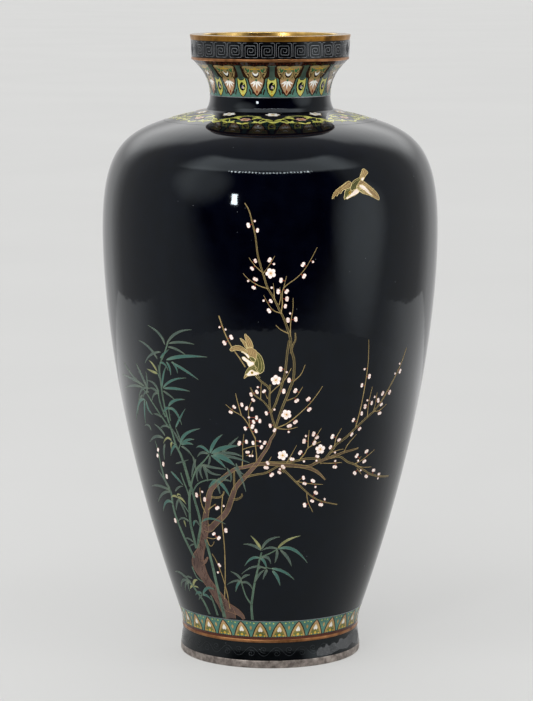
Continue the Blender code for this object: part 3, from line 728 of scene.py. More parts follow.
trunkLine = smoothLine([(-24.6, 14.7, 3.4), (-25.6, 17, 4.3), (-28.6, 20, 3.9), (-33, 23.8, 3.1), (-36.6, 27, 3.3),
                        (-39.2, 30.4, 4.9), (-38.4, 33, 4.0), (-36, 35.6, 2.5), (-34, 38, 2.1), (-32, 41, 2.2),
                        (-30.9, 43.6, 2.4), (-30, 46.5, 1.5)], 6)
rootLine = stemLine(3.0, 0.7, (-26.0, 18.6), (-22.5, 17.9), (-19.2, 17.0), (-17.0, 16.0), (-15.9, 14.9))
stubLine = stemLine(1.4, 0.35, (-37.5, 31.6), (-34.6, 32.3), (-32.2, 33.9))
leftLimb = smoothLine([(-30.6, 44.5, 2.0), (-29.7, 47, 1.7), (-28, 50, 1.5), (-26.8, 53, 1.7), (-25.4, 55.2, 1.4),
                       (-22.8, 57.1, 1.2), (-19.4, 59.2, 1.1), (-16.4, 61, 1.0), (-13.5, 62.3, 0.9),
                       (-9.8, 62.9, 0.9), (-6, 63.8, 1.0)], 5)
rightLimb = smoothLine([(-31, 43.2, 1.8), (-28.6, 43, 1.8), (-24.6, 45.3, 1.6), (-21.6, 47, 1.5), (-18.7, 49.4, 1.5),
                        (-16.4, 53.1, 1.5), (-14.7, 56, 1.3), (-12.5, 58.1, 1.2), (-10.1, 59.9, 1.2),
                        (-8, 61.6, 1.1), (-5.5, 63.8, 1.1), (-2.9, 66.7, 0.9), (-0.8, 69.2, 0.8), (0.2, 71.3, 0.7),
                        (1.5, 72.9, 0.55), (1.8, 74.6, 0.5)], 5)
sideBranch = smoothLine([(-7, 63.6, 1.0), (-0.8, 64.0, 1.0), (4.6, 63.6, 1.05), (9.9, 63.3, 1.0), (15, 62.5, 0.9),
                         (19.4, 60.9, 0.7), (22.9, 58.5, 0.3)], 5)
outerBranch = smoothLine([(9.5, 63.3, 0.8), (15, 62.9, 0.7), (18.7, 64, 0.7), (22.5, 64.9, 0.75), (27, 65.8, 0.65),
                          (30, 66.4, 0.55), (33.7, 66.8, 0.45), (36.7, 67.2, 0.25)], 5)
upperLeftStrand = smoothLine([(0.3, 79.4, 0.5), (1.6, 81.3, 0.6), (2.7, 83.8, 0.6), (4, 87.1, 0.62),
                              (5.1, 90.8, 0.62), (5.5, 93.8, 0.6), (5.9, 97.5, 0.65), (6.5, 100.4, 0.7)], 5)
upperBranch = smoothLine([(2.0, 74.6, 0.6), (3.0, 77.5, 0.65), (4.6, 81.3, 0.7), (5.6, 83.3, 0.75), (6.9, 86.3, 0.75),
                          (8.0, 88.8, 0.75), (8.3, 92.1, 0.7), (8.1, 95, 0.7), (7.2, 97.5, 0.7), (6.8, 101, 0.75),
                          (5.8, 103.8, 0.62), (4.5, 106.8, 0.58), (2.9, 109.5, 0.55), (1, 112.9, 0.52),
                          (-0.9, 115.6, 0.5), (-1.9, 118.4, 0.48), (-3, 121.5, 0.45), (-4.1, 125.2, 0.42),
                          (-4.8, 130.2, 0.38), (-5.9, 134.3, 0.33), (-7, 137.5, 0.26), (-8.4, 139.4, 0.15)], 5)

# thinner branches: width at the root, width at the tip, then the way each grows
twigs = [
    (0.7, 0.6, (-0.8, 64.4), (6, 64.3), (11.2, 64.9), (15, 65.3), (20, 65.0)),
    (0.6, 0.5, (22.5, 64.9), (28.1, 65.2), (32.2, 63.4), (36, 62.3), (39, 61.0), (42, 59.9), (45, 58.7),
     (48.7, 57.8), (52.5, 57.1), (60, 56.4)), (0.4, 0.2, (37.0, 61.8), (41, 61.0), (45.7, 60.7)),
    (0.42, 0.2, (36, 62.4), (39.7, 63.4), (42.7, 64.6), (45.7, 65.9)), (0.35, 0.2, (37.3, 62.8), (38.8, 64.6)),
    (0.35, 0.2, (37.5, 60.9), (40.5, 58.9)),
    (0.75, 0.6, (22.0, 64.9), (24.7, 67.5), (26.2, 69), (30, 70.8), (33, 72.7), (35.4, 74.2), (39, 76.3),
     (42, 77.8)), (0.6, 0.25, (42, 77.8), (45, 80.2), (48, 83.4), (51, 86.9), (54, 90.8), (56.4, 95.3)),
    (0.52, 0.2, (33.9, 73.4), (35.2, 78.7), (36, 84.6), (36.5, 91), (36.4, 95.2), (35.9, 99.4)),
    (0.4, 0.2, (39, 76.3), (38.8, 80.5), (39.7, 85.3)), (0.4, 0.2, (41.6, 77.6), (42.3, 80), (42.4, 83.4)),
    (0.42, 0.2, (42, 77.8), (45, 77.8), (48.4, 79.4)), (0.38, 0.2, (24.0, 66.6), (27, 67.2), (29.6, 67.4)),
    (0.45, 0.2, (30, 66.3), (31.4, 68.7), (34.9, 71.5)), (0.4, 0.2, (25.5, 68.5), (25.9, 71.1), (27.8, 73.8)),
    (0.5, 0.25, (11.2, 64.8), (13.5, 66.9), (14.8, 68.6), (19.5, 70.2)),
    (0.42, 0.2, (14.6, 68.6), (14.5, 71), (14.7, 73.8)), (0.42, 0.2, (16.1, 69.2), (17.6, 71.8), (19.4, 74.2)),
    (0.42, 0.2, (20.0, 63.7), (25, 63.4), (29.6, 63.4)), (0.4, 0.2, (6.4, 64.2), (8.2, 66.6), (10.1, 69.4)),
    (0.35, 0.18, (-1.4, 63.8), (0.5, 66.1)), (0.6, 0.5, (-10.5, 59.7), (-6, 60.6), (-1.8, 61.2), (3, 63.2)),
    (0.6, 0.25, (4.2, 63.0), (7.5, 60.5), (11.2, 57.8), (15, 55.2), (18, 53.5), (22.5, 51.9), (30, 50.5)),
    (0.45, 0.2, (15.3, 54.9), (16.1, 52.2), (18.7, 48.8)), (0.42, 0.2, (10.3, 58.6), (15.4, 57.7), (22.1, 57.1)),
    (0.3, 0.2, (10.8, 58.3), (13.0, 59.4)), (0.3, 0.2, (3.4, 62.4), (5.6, 61.2)),
    (0.6, 0.25, (1.8, 74.8), (0.8, 77.5), (-0.1, 80), (-2.3, 82.5), (-5.5, 84.4), (-7, 86.7)),
    (0.55, 0.4, (-0.1, 80), (-0.3, 83.3), (-0.1, 85.8), (0, 87.6)),
    (0.6, 0.5, (-0.3, 86.2), (-1, 87.1), (-3.3, 88.6), (-4.9, 90.1)),
    (0.35, 0.18, (-3.4, 83.3), (-3.3, 85.6), (-3.1, 88)), (0.35, 0.18, (-0.9, 83.4), (-2.1, 85.5)),
    (0.4, 0.2, (-0.1, 84.9), (2.4, 86.9), (5.1, 89), (7.3, 92.3)),
    (0.45, 0.25, (8.1, 88.4), (10.7, 90.4), (12.1, 93.2)), (0.45, 0.2, (6, 82.8), (9.3, 84), (11.5, 86.8)),
    (0.5, 0.25, (2.2, 74.7), (6.1, 76), (9.9, 78.3), (14.1, 81.5), (16.8, 84.2), (18.8, 86.7)),
    (0.4, 0.2, (2.2, 74.6), (6.7, 74.3), (10.1, 74.9)),
    (0.5, 0.3, (-5.3, 64.6), (-5.3, 66.7), (-5.6, 69.2), (-5.6, 71.7)),
    (0.5, 0.25, (-5.6, 71.5), (-7.7, 75), (-8.9, 76.7), (-10.6, 78.3), (-13.5, 79.6), (-16.2, 81.4)),
    (0.4, 0.2, (-10.5, 78.2), (-11.7, 82), (-12.4, 84.8)), (0.4, 0.2, (-7.6, 75.4), (-7.9, 79.6), (-6.8, 82.4)),
    (0.45, 0.2, (-11.2, 62.7), (-10.7, 65.8), (-10.6, 68.8), (-9.9, 72.8)),
    (0.35, 0.2, (-10.5, 68.2), (-7.5, 69), (-4.6, 69.4)), (0.3, 0.2, (-9.4, 66.3), (-7.3, 66.7), (-6.7, 68)),
    (0.5, 0.5, (-17.3, 107.3), (-16, 103.8), (-14.6, 100.7), (-13.2, 98.5), (-11.8, 96.7), (-10, 94.5),
     (-8.6, 92.6)), (0.55, 0.3, (7.0, 96.6), (7.7, 99), (8.5, 100.6), (8.4, 102.6)),
    (0.45, 0.18, (6.8, 101.5), (6.8, 105.6), (7.5, 109.3), (7.5, 112.6)),
    (0.5, 0.2, (6.2, 102.4), (3.6, 103.5), (1.8, 104.9)),
    (0.45, 0.18, (3.9, 108.2), (1.3, 109), (-0.4, 110.6), (-2.2, 113.5)),
    (0.5, 0.2, (3.6, 108.4), (4.0, 111), (3.9, 112.9), (4.5, 115.6), (8.7, 118.4), (11.4, 120.9), (13.5, 123.8),
     (15.4, 126.9)), (0.35, 0.18, (4.3, 115.2), (5.3, 118.9)),
    (0.4, 0.18, (2.9, 110.6), (3.5, 113.4), (3.1, 115.7)), (0.35, 0.15, (1.4, 112.2), (1.2, 115), (1.0, 116.9)),
    (0.42, 0.18, (-0.7, 115.3), (-4, 116.3), (-7.2, 118.1), (-8.8, 119.6)),
    (0.4, 0.18, (-2.5, 119.9), (-4.9, 121.8), (-6.9, 124.1)), (0.4, 0.18, (-2.3, 119.6), (-0.3, 122), (1.5, 124.6)),
    (0.6, 0.35, (-25.7, 53), (-22.3, 53.1), (-20.3, 53.9), (-19.5, 55.1)),
    (0.7, 0.4, (-15.9, 52.8), (-13.5, 53), (-12, 53.9), (-11.8, 54.7)),
    (0.5, 0.3, (-28, 49), (-25.6, 50.2), (-23.9, 51)), (0.6, 0.5, (-15, 55.6), (-14.8, 58), (-14.6, 61.6)),
    (0.4, 0.2, (-29.5, 47.8), (-30.9, 50.6), (-30.9, 53.6), (-30.6, 55.6)),
    (0.4, 0.4, (-26.4, 21), (-24.6, 26), (-23.5, 30), (-22.4, 36), (-22, 41), (-21.9, 46), (-21.3, 50),
     (-20.2, 54.2)), (0.4, 0.3, (-23.9, 18), (-24.3, 23.5), (-25.8, 29), (-27.7, 33), (-29.5, 35.2)),
    (0.35, 0.2, (-31, 39.6), (-30.3, 38), (-29.2, 37.6), (-27.9, 38.3), (-27.2, 39.2)),
    (0.35, 0.2, (-30.8, 40.2), (-27.3, 40), (-24.8, 40.9)),
]
twigLines = [stemLine(first, last, *points) for first, last, *points in twigs]
for line in (upperBranch, upperLeftStrand, *twigLines):
    line[:, 2] *= plum["slender"]

stemCells("plumTrunk", [trunkLine, rootLine, stubLine], "bark", "bark_enamel", 0.02, ["plum_trunk"], stagger=True)
stemCells("plumLeftLimb", [leftLimb], "bark", "bark_enamel", 0.028, ["plum_left_limb"])
stemCells("plumRightLimb", [rightLimb], "bark", "bark_enamel", 0.032, ["plum_right_limb"])
stemCells("plumSideBranch", [sideBranch, outerBranch], "branch", "bark_enamel", 0.024, ["plum_side_branch"],
          stagger=True)
stemCells("plumUpperBranch", [upperBranch, upperLeftStrand], "twig", "bark_enamel", 0.024, ["plum_upper_branch"],
          stagger=True)
thick = [line for line in twigLines if line[0][2] > plum["thinTwig"]]
thin = [line for line in twigLines if line[0][2] <= plum["thinTwig"]]
stemCells("plumTwigs", thick, "twig", "twig_enamel", 0.02, stagger=True)
branches = [leftLimb, rightLimb, sideBranch, outerBranch, upperBranch, upperLeftStrand]
wires("plumEdgeWires", [edge for line in branches + thick for edge in edges(line)], "twigWire", "gilt_copper",
      plum["edgeWire"], 0.045, stagger=True)
wires("plumThinTwigs", thin, "twigWire", "twig_enamel", proud=0.035, stagger=True)
barkMarks = []
for i in range(plum["barkMarks"]):  # bark is drawn with short bent wires along the trunk
    at = trunkLine[4 + i % (len(trunkLine) - 8)]
    shift = chance.uniform(-0.36, 0.36) * at[2]
    mark = [(shift, 0), (shift + chance.uniform(-0.3, 0.3), 0.5), (shift + chance.uniform(-0.5, 0.5), 1.1)]
    barkMarks.append(smoothLine(local(mark, at[0], at[1]), 3))
wires("plumBarkMarks", barkMarks, "darkBrown", "bark_enamel", plum["barkMarkWidth"], 0.04, stagger=True)
wires("plumTrunkWires", [edge for line in (trunkLine, rootLine, stubLine) for edge in edges(line)], "barkWire",
      "gilt_copper", plum["trunkWire"], 0.042, stagger=True)
print("plum tree made")


blossom = {"radius": 1.48, "notch": 0.34, "turn": 0.4, "pollen": 0.07,
           "openAt": [(2.0, 88.9), (5.9, 78.7), (4.8, 66.5), (19.6, 67.9), (0.2, 119.7)]}
buds = {"L": (0.54, 2), "M": (0.46, 2), "s": (0.36, 1)}  # radius of each petal, and how many show
stalkReach = 4.5  # a bud further than this from any wood has no stalk

# places of the large, middling and small buds
budPlaces = [
    ("L", (8.9, 85.7), (6.6, 88.8), (4.8, 85.6), (3.6, 92.1), (9.5, 82.7), (13.7, 83.1), (14.3, 80), (9.3, 76.4),
     (7.1, 75.3), (-6.6, 75.1), (-11.8, 70), (12.9, 70.6), (16.5, 72.6), (17, 69.9), (11.6, 67.2), (8.5, 65.3),
     (-1.6, 62.8), (5.1, 63), (0.6, 60.6), (17.6, 58.4), (19.3, 54.7), (14.8, 51.1), (22.1, 50.9), (26.6, 62.2),
     (24.2, 71.5), (37.3, 79.6), (43.5, 80.9), (45.4, 82.8), (49.3, 82.8), (45.2, 76.9), (37.7, 88.5), (54, 88.6),
     (36.4, 64.9), (41.2, 65.8), (40.9, 62.8), (36.7, 59.6), (43.5, 58), (47.4, 59.5), (-7.1, 133.2), (-0.2, 123.5),
     (-4.8, 118), (-0.4, 109), (3.5, 117.7), (2.6, 114.5), (5.4, 114.5), (5.5, 112.4), (5.9, 106.3), (8.5, 106.5),
     (10.7, 122.1), (11.1, 118.8), (-15.7, 99.5), (-13.2, 101.2), (-49, 61.2), (-48.3, 57.5), (-32.8, 53.2),
     (-29, 52.1), (-23.4, 49.8), (-48.8, 43.9), (-24.5, 40.4), (-20.5, 43)),
    ("M", (-3.8, 76.8), (-5, 77.8), (-6.1, 76.5), (-5.3, 73.8), (-9.3, 74.5), (-6.6, 80.3), (-8.6, 80.5),
     (-10.2, 81.5), (-13.1, 80.8), (-14.5, 79.2), (-6.1, 83), (-6.8, 84.6), (-4.7, 85.4), (-2.2, 85.6), (-1.4, 79.1),
     (0, 75.4), (1.6, 74.1), (-9, 70.5), (-6.5, 70.2), (-2.1, 70.3), (-3.3, 69), (-8.7, 67.4), (17.9, 71.5),
     (18.6, 65.8), (-1, 64.2), (3.6, 61.3), (13.5, 59.5), (14.1, 57.7), (18, 52.2), (23.8, 68.3), (27.2, 70.3),
     (32.6, 71.6), (36, 73), (32.6, 75.9), (36.1, 77.6), (40.3, 80.4), (45.5, 79.5), (34.7, 86.1), (51.6, 57.9),
     (-4.1, 131.8), (-4.8, 123.2), (-5.9, 121), (-5.4, 115.6), (0.2, 111.8), (5, 110.3), (-26.8, 41.6),
     (-26.3, 31.8), (-50.7, 65.4), (-51.8, 63.5)),
    ("s", (5.7, 91.2), (6.9, 73.5), (1.5, 80.2), (-7.8, 77.8), (-4.4, 86.8), (-3.8, 70.7), (-7.9, 66.3),
     (-6.9, 66.3), (13.5, 72.1), (13.3, 64.5), (18.4, 64.5), (3.8, 62.3), (18.9, 56.5), (23.6, 52.5), (26.5, 64),
     (26, 66.6), (38, 81.4), (41.4, 82.1), (35.2, 90.8), (51, 88.2), (53.1, 90.9), (37.5, 63.3), (39.7, 60.2),
     (51.5, 56.6), (-5, 134.4), (1.2, 122.3), (-7.2, 117.5), (-2.2, 111.9), (0.5, 115.6), (6.6, 108.2),
     (14, 122.8), (-15.1, 103.4), (-17.2, 104), (-29.7, 54.4), (-20.3, 50.6), (-27.8, 29.4)),
]


def roundOutline(angle, height, radius, lobes, depth, turn, count=30):
    around = np.linspace(0, 2 * math.pi, count, endpoint=False)
    reach = radius * (1 - depth + depth * np.abs(np.cos(lobes / 2 * (around - turn))) ** 0.7)
    return local(np.stack([reach * np.cos(around), reach * np.sin(around)], axis=1), angle, height)


def ray(angle, height, way, near, far):
    # a short straight line outwards from a place on the wall
    return local([(near * math.cos(way), near * math.sin(way)), (far * math.cos(way), far * math.sin(way))],
                 angle, height)


openHearts, stamens, petalLines, pollen = [], [], [], []
for number, (angle, height) in enumerate(blossom["openAt"], 1):
    turn = blossom["turn"] * number
    outline = roundOutline(angle, height, blossom["radius"], 5, blossom["notch"], turn, 60)
    cells(f"plumBlossom{number}", [outline], "petal", "petal_enamel", 0.05, [f"plum_blossom_{number}"],
          anchors=[(angle, height)], grid=0.6)
    openHearts.append(roundOutline(angle, height, 0.30, 5, 0.15, turn, 20))
    petalLines.append(loop(outline))
    petalLines += [ray(angle, height, turn + (k + 0.5) * 2 * math.pi / 5, 0.45, 1.0) for k in range(5)]
    for k in range(11):
        stamens.append(ray(angle, height, turn + k * 2 * math.pi / 11, 0.3, 0.60 + 0.14 * (k % 2)))
        pollen.append(roundAt(*stamens[-1][1], blossom["pollen"], 6))
cells("blossomHearts", openHearts, "orange", "gilt_copper", 0.065)
wires("blossomPetalLines", petalLines, "petalWire", "gilt_copper", 0.11, 0.06)
wires("blossomStamens", stamens, "goldYellow", "gilt_copper", 0.06, 0.068)
cells("blossomPollen", pollen, "orange", "gilt_copper", 0.075)

woodPoints = np.concatenate(branches + twigLines)
budShapes, budLines, stalks, calyxes = [], [], [], []
for size, *places in budPlaces:
    radius, petalCount = buds[size]
    for angle, height in places:
        wood = np.stack([np.radians(woodPoints[:, 0] - angle) * radiusAt(height), woodPoints[:, 1] - height], axis=1)
        nearest = wood[np.argmin(np.hypot(wood[:, 0], wood[:, 1]))]
        way = math.atan2(nearest[1], nearest[0])
        petals = []
        for k in range(petalCount):  # one round petal, or two side by side
            side = way + math.pi / 2 + k * math.pi
            reach = 0.50 * (petalCount - 1) * radius
            petals.append((reach * math.cos(side), reach * math.sin(side)))
        outline = []
        for t in np.linspace(0, 2 * math.pi, 28, endpoint=False):  # the outer edge of the petals taken together
            best = 0.3 * radius
            for x, y in petals:
                along = x * math.cos(t) + y * math.sin(t)
                beyond = (radius * 0.86) ** 2 - (x * x + y * y - along * along)
                if beyond > 0:
                    best = max(best, along + math.sqrt(beyond))
            outline.append((best * math.cos(t), best * math.sin(t)))
        budShapes.append(local(outline, angle, height))
        budLines.append(loop(budShapes[-1]))
        for x, y in petals[:petalCount if petalCount > 1 else 0]:
            budLines.append(ray(angle, height, math.atan2(y, x) + math.pi / petalCount, 0, radius * 0.9))
        if math.hypot(*nearest) < stalkReach:
            budEnd = ray(angle, height, way, 0.5 * radius, radius)[0]
            stalks.append([(*budEnd, 0.22), (*local([nearest], angle, height)[0], 0.16)])
            calyxes.append(roundAt(*ray(angle, height, way, 0, 0.95 * radius)[1], 0.42 * radius, 8))
cells("plumBuds", budShapes, "bud", "petal_enamel", 0.05, grid=0.7)
wires("budWires", budLines, "petalWire", "gilt_copper", 0.09, 0.06, stagger=True)
wires("budStalks", stalks, "calyx", "bark_enamel", proud=0.03, stagger=True)
cells("budCalyxes", calyxes, "calyx", "bark_enamel", 0.04)
print("blossoms made")


bamboo = {"edgeWire": 0.07, "slender": 0.84, "leafFullness": 2.05, "thinnest": 0.06}


def leafLine(leaf):
    # the middle line of a leaf, with its width at each point
    root, middle, tip = np.array(leaf[:6], float).reshape(3, 2)
    bend = 2 * middle - (root + tip) / 2
    t = np.linspace(0, 1, 13)
    line = ((1 - t) ** 2)[:, None] * root + (2 * t * (1 - t))[:, None] * bend + (t ** 2)[:, None] * tip
    wide = np.maximum(leaf[6] * bamboo["leafFullness"] * t ** 0.5 * (1 - t) ** 0.9, bamboo["thinnest"])
    return np.column_stack([line, wide])


# each leaf: the angle and height of its root, middle and tip, then its width
greenLeaves = [
    (-39.2, 93.2, -31.5, 94.8, -22.2, 95.1, 1.2), (-37, 92.7, -31.5, 90.8, -26.1, 88.2, 0.9),
    (-42.4, 92.1, -40.3, 92, -38.8, 90.2, 0.7), (-42, 93.5, -40, 95, -37.4, 96.5, 0.7),
    (-39.2, 92.7, -38, 91, -37.8, 88.8, 0.8), (-36.7, 92.9, -35.2, 91.5, -34.6, 89.6, 0.7),
    (-42.4, 84.6, -37.5, 87.3, -31.1, 88.5, 0.8), (-42, 84.6, -36, 85, -30, 84.6, 0.9),
    (-42.7, 84.9, -41.5, 88.3, -39.6, 91.3, 0.8), (-40.6, 79.3, -37.5, 81.3, -32.5, 82, 1.0),
    (-39.7, 78.5, -42, 78.6, -44.3, 76.5, 0.9), (-40.6, 78.8, -37.5, 78, -35.3, 74.3, 1.0),
    (-38.5, 73.2, -36, 76, -32.8, 79.3, 0.7), (-53.4, 79.9, -58, 79, -63.6, 73.2, 0.9),
    (-54, 79.9, -55.2, 77, -56.2, 72.7, 0.9), (-53, 79.9, -52.5, 77.5, -50.2, 76, 0.9),
    (-39.2, 67.7, -41.5, 66.8, -43.4, 64.3, 1.0), (-37.4, 68.2, -34, 71.6, -27.2, 73.7, 1.1),
    (-37.1, 68.2, -33.7, 69.8, -30.4, 70.2, 0.9), (-36.7, 68.2, -33.9, 68.9, -31.1, 68.6, 1.0),
    (-24.2, 66.4, -27.2, 68.2, -29.8, 67.8, 0.9), (-24, 66.4, -21.8, 69.8, -18.2, 72.4, 1.2),
    (-23.5, 66.4, -18, 68.4, -12, 69.2, 1.5), (-22.8, 66.2, -18, 65.2, -14, 63.1, 1.9),
    (-23.8, 66, -20.3, 64.2, -17.9, 62.2, 1.1), (-22.3, 58.5, -24.2, 57.4, -26.4, 55.8, 1.3),
    (-22.3, 58.5, -19.4, 56.5, -17.2, 53.5, 1.2), (-41, 21.5, -36.5, 23.8, -31.8, 23.6, 1.0),
    (-41.5, 21.6, -44.3, 21.8, -47.3, 20.7, 0.9), (-41.2, 21.2, -38.3, 21.3, -35.5, 20, 0.9),
    (-5, 34.8, -9, 34.6, -12.7, 32.2, 0.9), (-4.8, 34.7, -3, 33.8, -1.7, 31.5, 1.0),
    (0.3, 31.5, 6.6, 30.5, 12.5, 27.8, 1.0), (1, 30.8, 3.5, 28.9, 5.2, 26, 1.1),
    (-15.6, 27, -17.5, 26, -19, 23.7, 0.9), (-32, 45, -27, 46.3, -20.5, 45, 0.7),
    (-44.9, 59.4, -42, 57.6, -39.2, 55.7, 0.9), (-48, 49.5, -52.5, 49.3, -57, 46, 1.0),
    (3.8, 37.6, 10.9, 37.4, 18.7, 32.8, 1.1), (-36, 45, -36.8, 44.3, -37.5, 43.2, 0.8),
]
greyLeaves = [
    (-39.2, 97.7, -41.5, 100.8, -46.6, 102.8, 0.9), (-38.5, 97.7, -33.8, 101.4, -27.5, 102.8, 0.9),
    (-37.4, 98.2, -32.3, 98.9, -26.8, 98.6, 0.8), (-37.8, 97.1, -34.5, 96.8, -30.7, 95.4, 0.7),
    (-43.4, 93.2, -47.5, 96.4, -52.6, 97.8, 0.9), (-41.3, 95.4, -46.5, 94.2, -50.5, 91.3, 0.8),
    (-43.1, 86, -43.2, 89, -43.4, 91.5, 0.7), (-42.4, 83.8, -40, 83, -37.1, 81.6, 0.7),
    (-51.2, 84, -53.7, 87.5, -56.2, 90.7, 1.1), (-52.6, 84.3, -59, 86, -66, 89.8, 0.9),
    (-53.4, 84.6, -61, 85.6, -70.3, 86, 0.9), (-54, 83.8, -61, 83.6, -69, 82, 0.9),
    (-54.8, 81.5, -58.3, 79, -61, 75, 0.8), (-50.5, 82.7, -53, 82.3, -55.5, 80, 0.7),
    (-52, 82.1, -50.7, 85.5, -50.6, 88.8, 0.8), (-49.8, 83.8, -54.5, 83.2, -58.5, 79.5, 0.8),
    (-44.9, 82.7, -46.5, 85.4, -50.5, 86.2, 0.8), (-44.9, 82.1, -46.8, 83.8, -50, 84, 0.8),
    (-45.5, 82.7, -47.6, 82.3, -49.5, 80, 0.7), (-45.2, 75.7, -47, 76.3, -49.5, 76.3, 0.7),
    (-53, 71, -54.4, 72.4, -57.2, 72, 0.8), (-46, 69.3, -50.5, 69.4, -55.5, 67.3, 1.0),
    (-44.9, 70.2, -47, 72, -50.2, 73.2, 0.8), (-42, 73, -44.5, 73.2, -47.3, 72.1, 0.7),
    (-45.6, 67.7, -47, 65.5, -47.7, 62.7, 0.8), (-37.1, 67.7, -34.3, 66.8, -32.1, 64.9, 0.8),
    (-37.4, 68.8, -39, 71, -40.3, 72.7, 0.7), (-37.1, 69.3, -37.8, 71.5, -38.5, 73, 0.6),
    (-41.3, 62.1, -37.8, 62.9, -34.3, 63.8, 0.5), (-47.7, 53.8, -50, 56, -53.4, 58.8, 0.9),
    (-47.7, 53.2, -55, 53.9, -62.5, 53, 0.9), (-47.7, 52.8, -53.5, 51.8, -59.7, 48.5, 0.9),
    (-43.5, 51, -45.3, 49.3, -46.6, 47.2, 0.8), (-43.2, 50.8, -41.7, 48.6, -40.5, 45.8, 0.8),
    (-44.6, 53.3, -42, 54.8, -39.4, 55.3, 0.6), (-39.7, 44.5, -43.2, 45.2, -46.9, 43.8, 0.7),
    (-36, 45, -35, 44.8, -34, 43.7, 0.7), (-39.4, 38, -42, 38.9, -44.6, 38.8, 0.6),
    (-39.4, 37.5, -41.2, 37, -43.2, 36.3, 0.5), (-22.8, 66.3, -15.5, 66.9, -10.6, 65.8, 0.9),
    (-20, 66, -15.8, 69.2, -12, 71.9, 0.9), (-22, 66, -15.5, 65.8, -8.2, 64.2, 1.0),
    (-24.7, 66.2, -27.7, 66.4, -29.8, 65, 0.8), (-24.2, 65.6, -24.7, 63.9, -25.7, 62.4, 0.7),
    (-27.9, 62.8, -24.2, 62.3, -17.9, 61.9, 0.9), (-27.9, 62.8, -24.7, 60.6, -20.3, 60.1, 0.9),
    (-27.9, 62.8, -26.7, 60.3, -26.4, 57.8, 0.9), (-27.9, 62.8, -29.4, 61, -28.6, 58.5, 0.9),
    (-27.9, 62.8, -31, 60.3, -31, 57.4, 0.8), (-22.3, 58.5, -21.8, 56, -21.3, 54.2, 0.7),
    (-22.3, 58.5, -18.9, 58.7, -16, 58.3, 0.8), (-22.3, 58.5, -18.4, 59.6, -15.5, 61, 0.8),
    (-14.5, 62.8, -12, 60, -10.1, 55.3, 0.9), (-13.5, 63.9, -12.5, 61.7, -10.6, 60.6, 0.8),
    (-17.4, 62.4, -16, 60, -16.4, 58.1, 0.7), (-30.7, 64.3, -32.5, 61.5, -34, 58.5, 0.8),
    (-32, 65, -31.5, 63, -31.5, 61, 0.7), (-47.3, 23.5, -54.5, 26.5, -62, 26.6, 0.9),
    (-50, 24.5, -55.5, 24.6, -60.5, 22, 0.9), (-50.5, 24.3, -53.8, 23.6, -56.5, 21.3, 0.8),
    (-51.2, 24, -52, 23, -52, 21.5, 0.7), (-46.5, 26, -49.5, 26.3, -52.3, 25.8, 0.6),
    (-41.5, 21.3, -43.5, 20.5, -45.4, 19.3, 0.7), (-4.4, 37.2, -8, 38.7, -12.6, 39, 0.9),
    (-4, 37.6, -0.8, 40.4, 4.4, 41.4, 0.9), (3.4, 37.7, -0.3, 38.1, -4, 37.2, 0.8),
    (4.7, 37.4, 8.4, 34.9, 10.6, 32.1, 1.0), (3.1, 37.4, 3.2, 35.6, 2.2, 33.3, 0.9),
    (-4, 34.9, -1.2, 34.9, 0.3, 33, 0.9), (-1.8, 31.3, -8, 32, -14.7, 29.5, 0.7),
    (-1.5, 31.2, -2.5, 30, -3.8, 28, 0.9), (-7.8, 27.3, -5.3, 29.8, -2.8, 31, 0.7),
    (-15.3, 26.6, -12, 26.8, -9.5, 24.8, 0.8), (-15, 28, -12.5, 29.1, -10.4, 29.3, 0.8),
    (-14.6, 27, -18.5, 27.2, -23.5, 25.7, 0.7), (-15, 27.3, -17, 29, -20.5, 30.1, 0.8),
]
yellowLeaves = [
    (-44.2, 88.8, -46.7, 89.2, -49.8, 89.7, 0.9), (-44.2, 89.3, -46, 91.3, -48, 92.4, 0.8),
    (-41.7, 69, -43.8, 69.6, -46.6, 67.7, 0.8), (-41.3, 68.5, -42.2, 67.8, -42.4, 66.3, 0.8),
    (-43.9, 51.5, -46, 51.8, -48.3, 51, 0.8), (-43.9, 51.5, -41.5, 51.3, -39.4, 49.8, 1.0),
    (-43.9, 52, -43, 52.6, -41.5, 52.3, 0.6), (-42.8, 44.6, -42.5, 43.8, -42.3, 42.5, 0.8),
    (-47.3, 23.5, -45, 25.4, -42.3, 25.8, 1.0), (-47.6, 23.5, -49, 23.3, -50.8, 22.3, 0.9),
    (-46.9, 23.4, -44.8, 23.6, -43, 23.2, 0.6), (-4.4, 37.4, -6, 39.5, -9, 41.8, 1.0),
    (3.5, 37.8, 7.8, 40.3, 14, 41.6, 0.9),
]

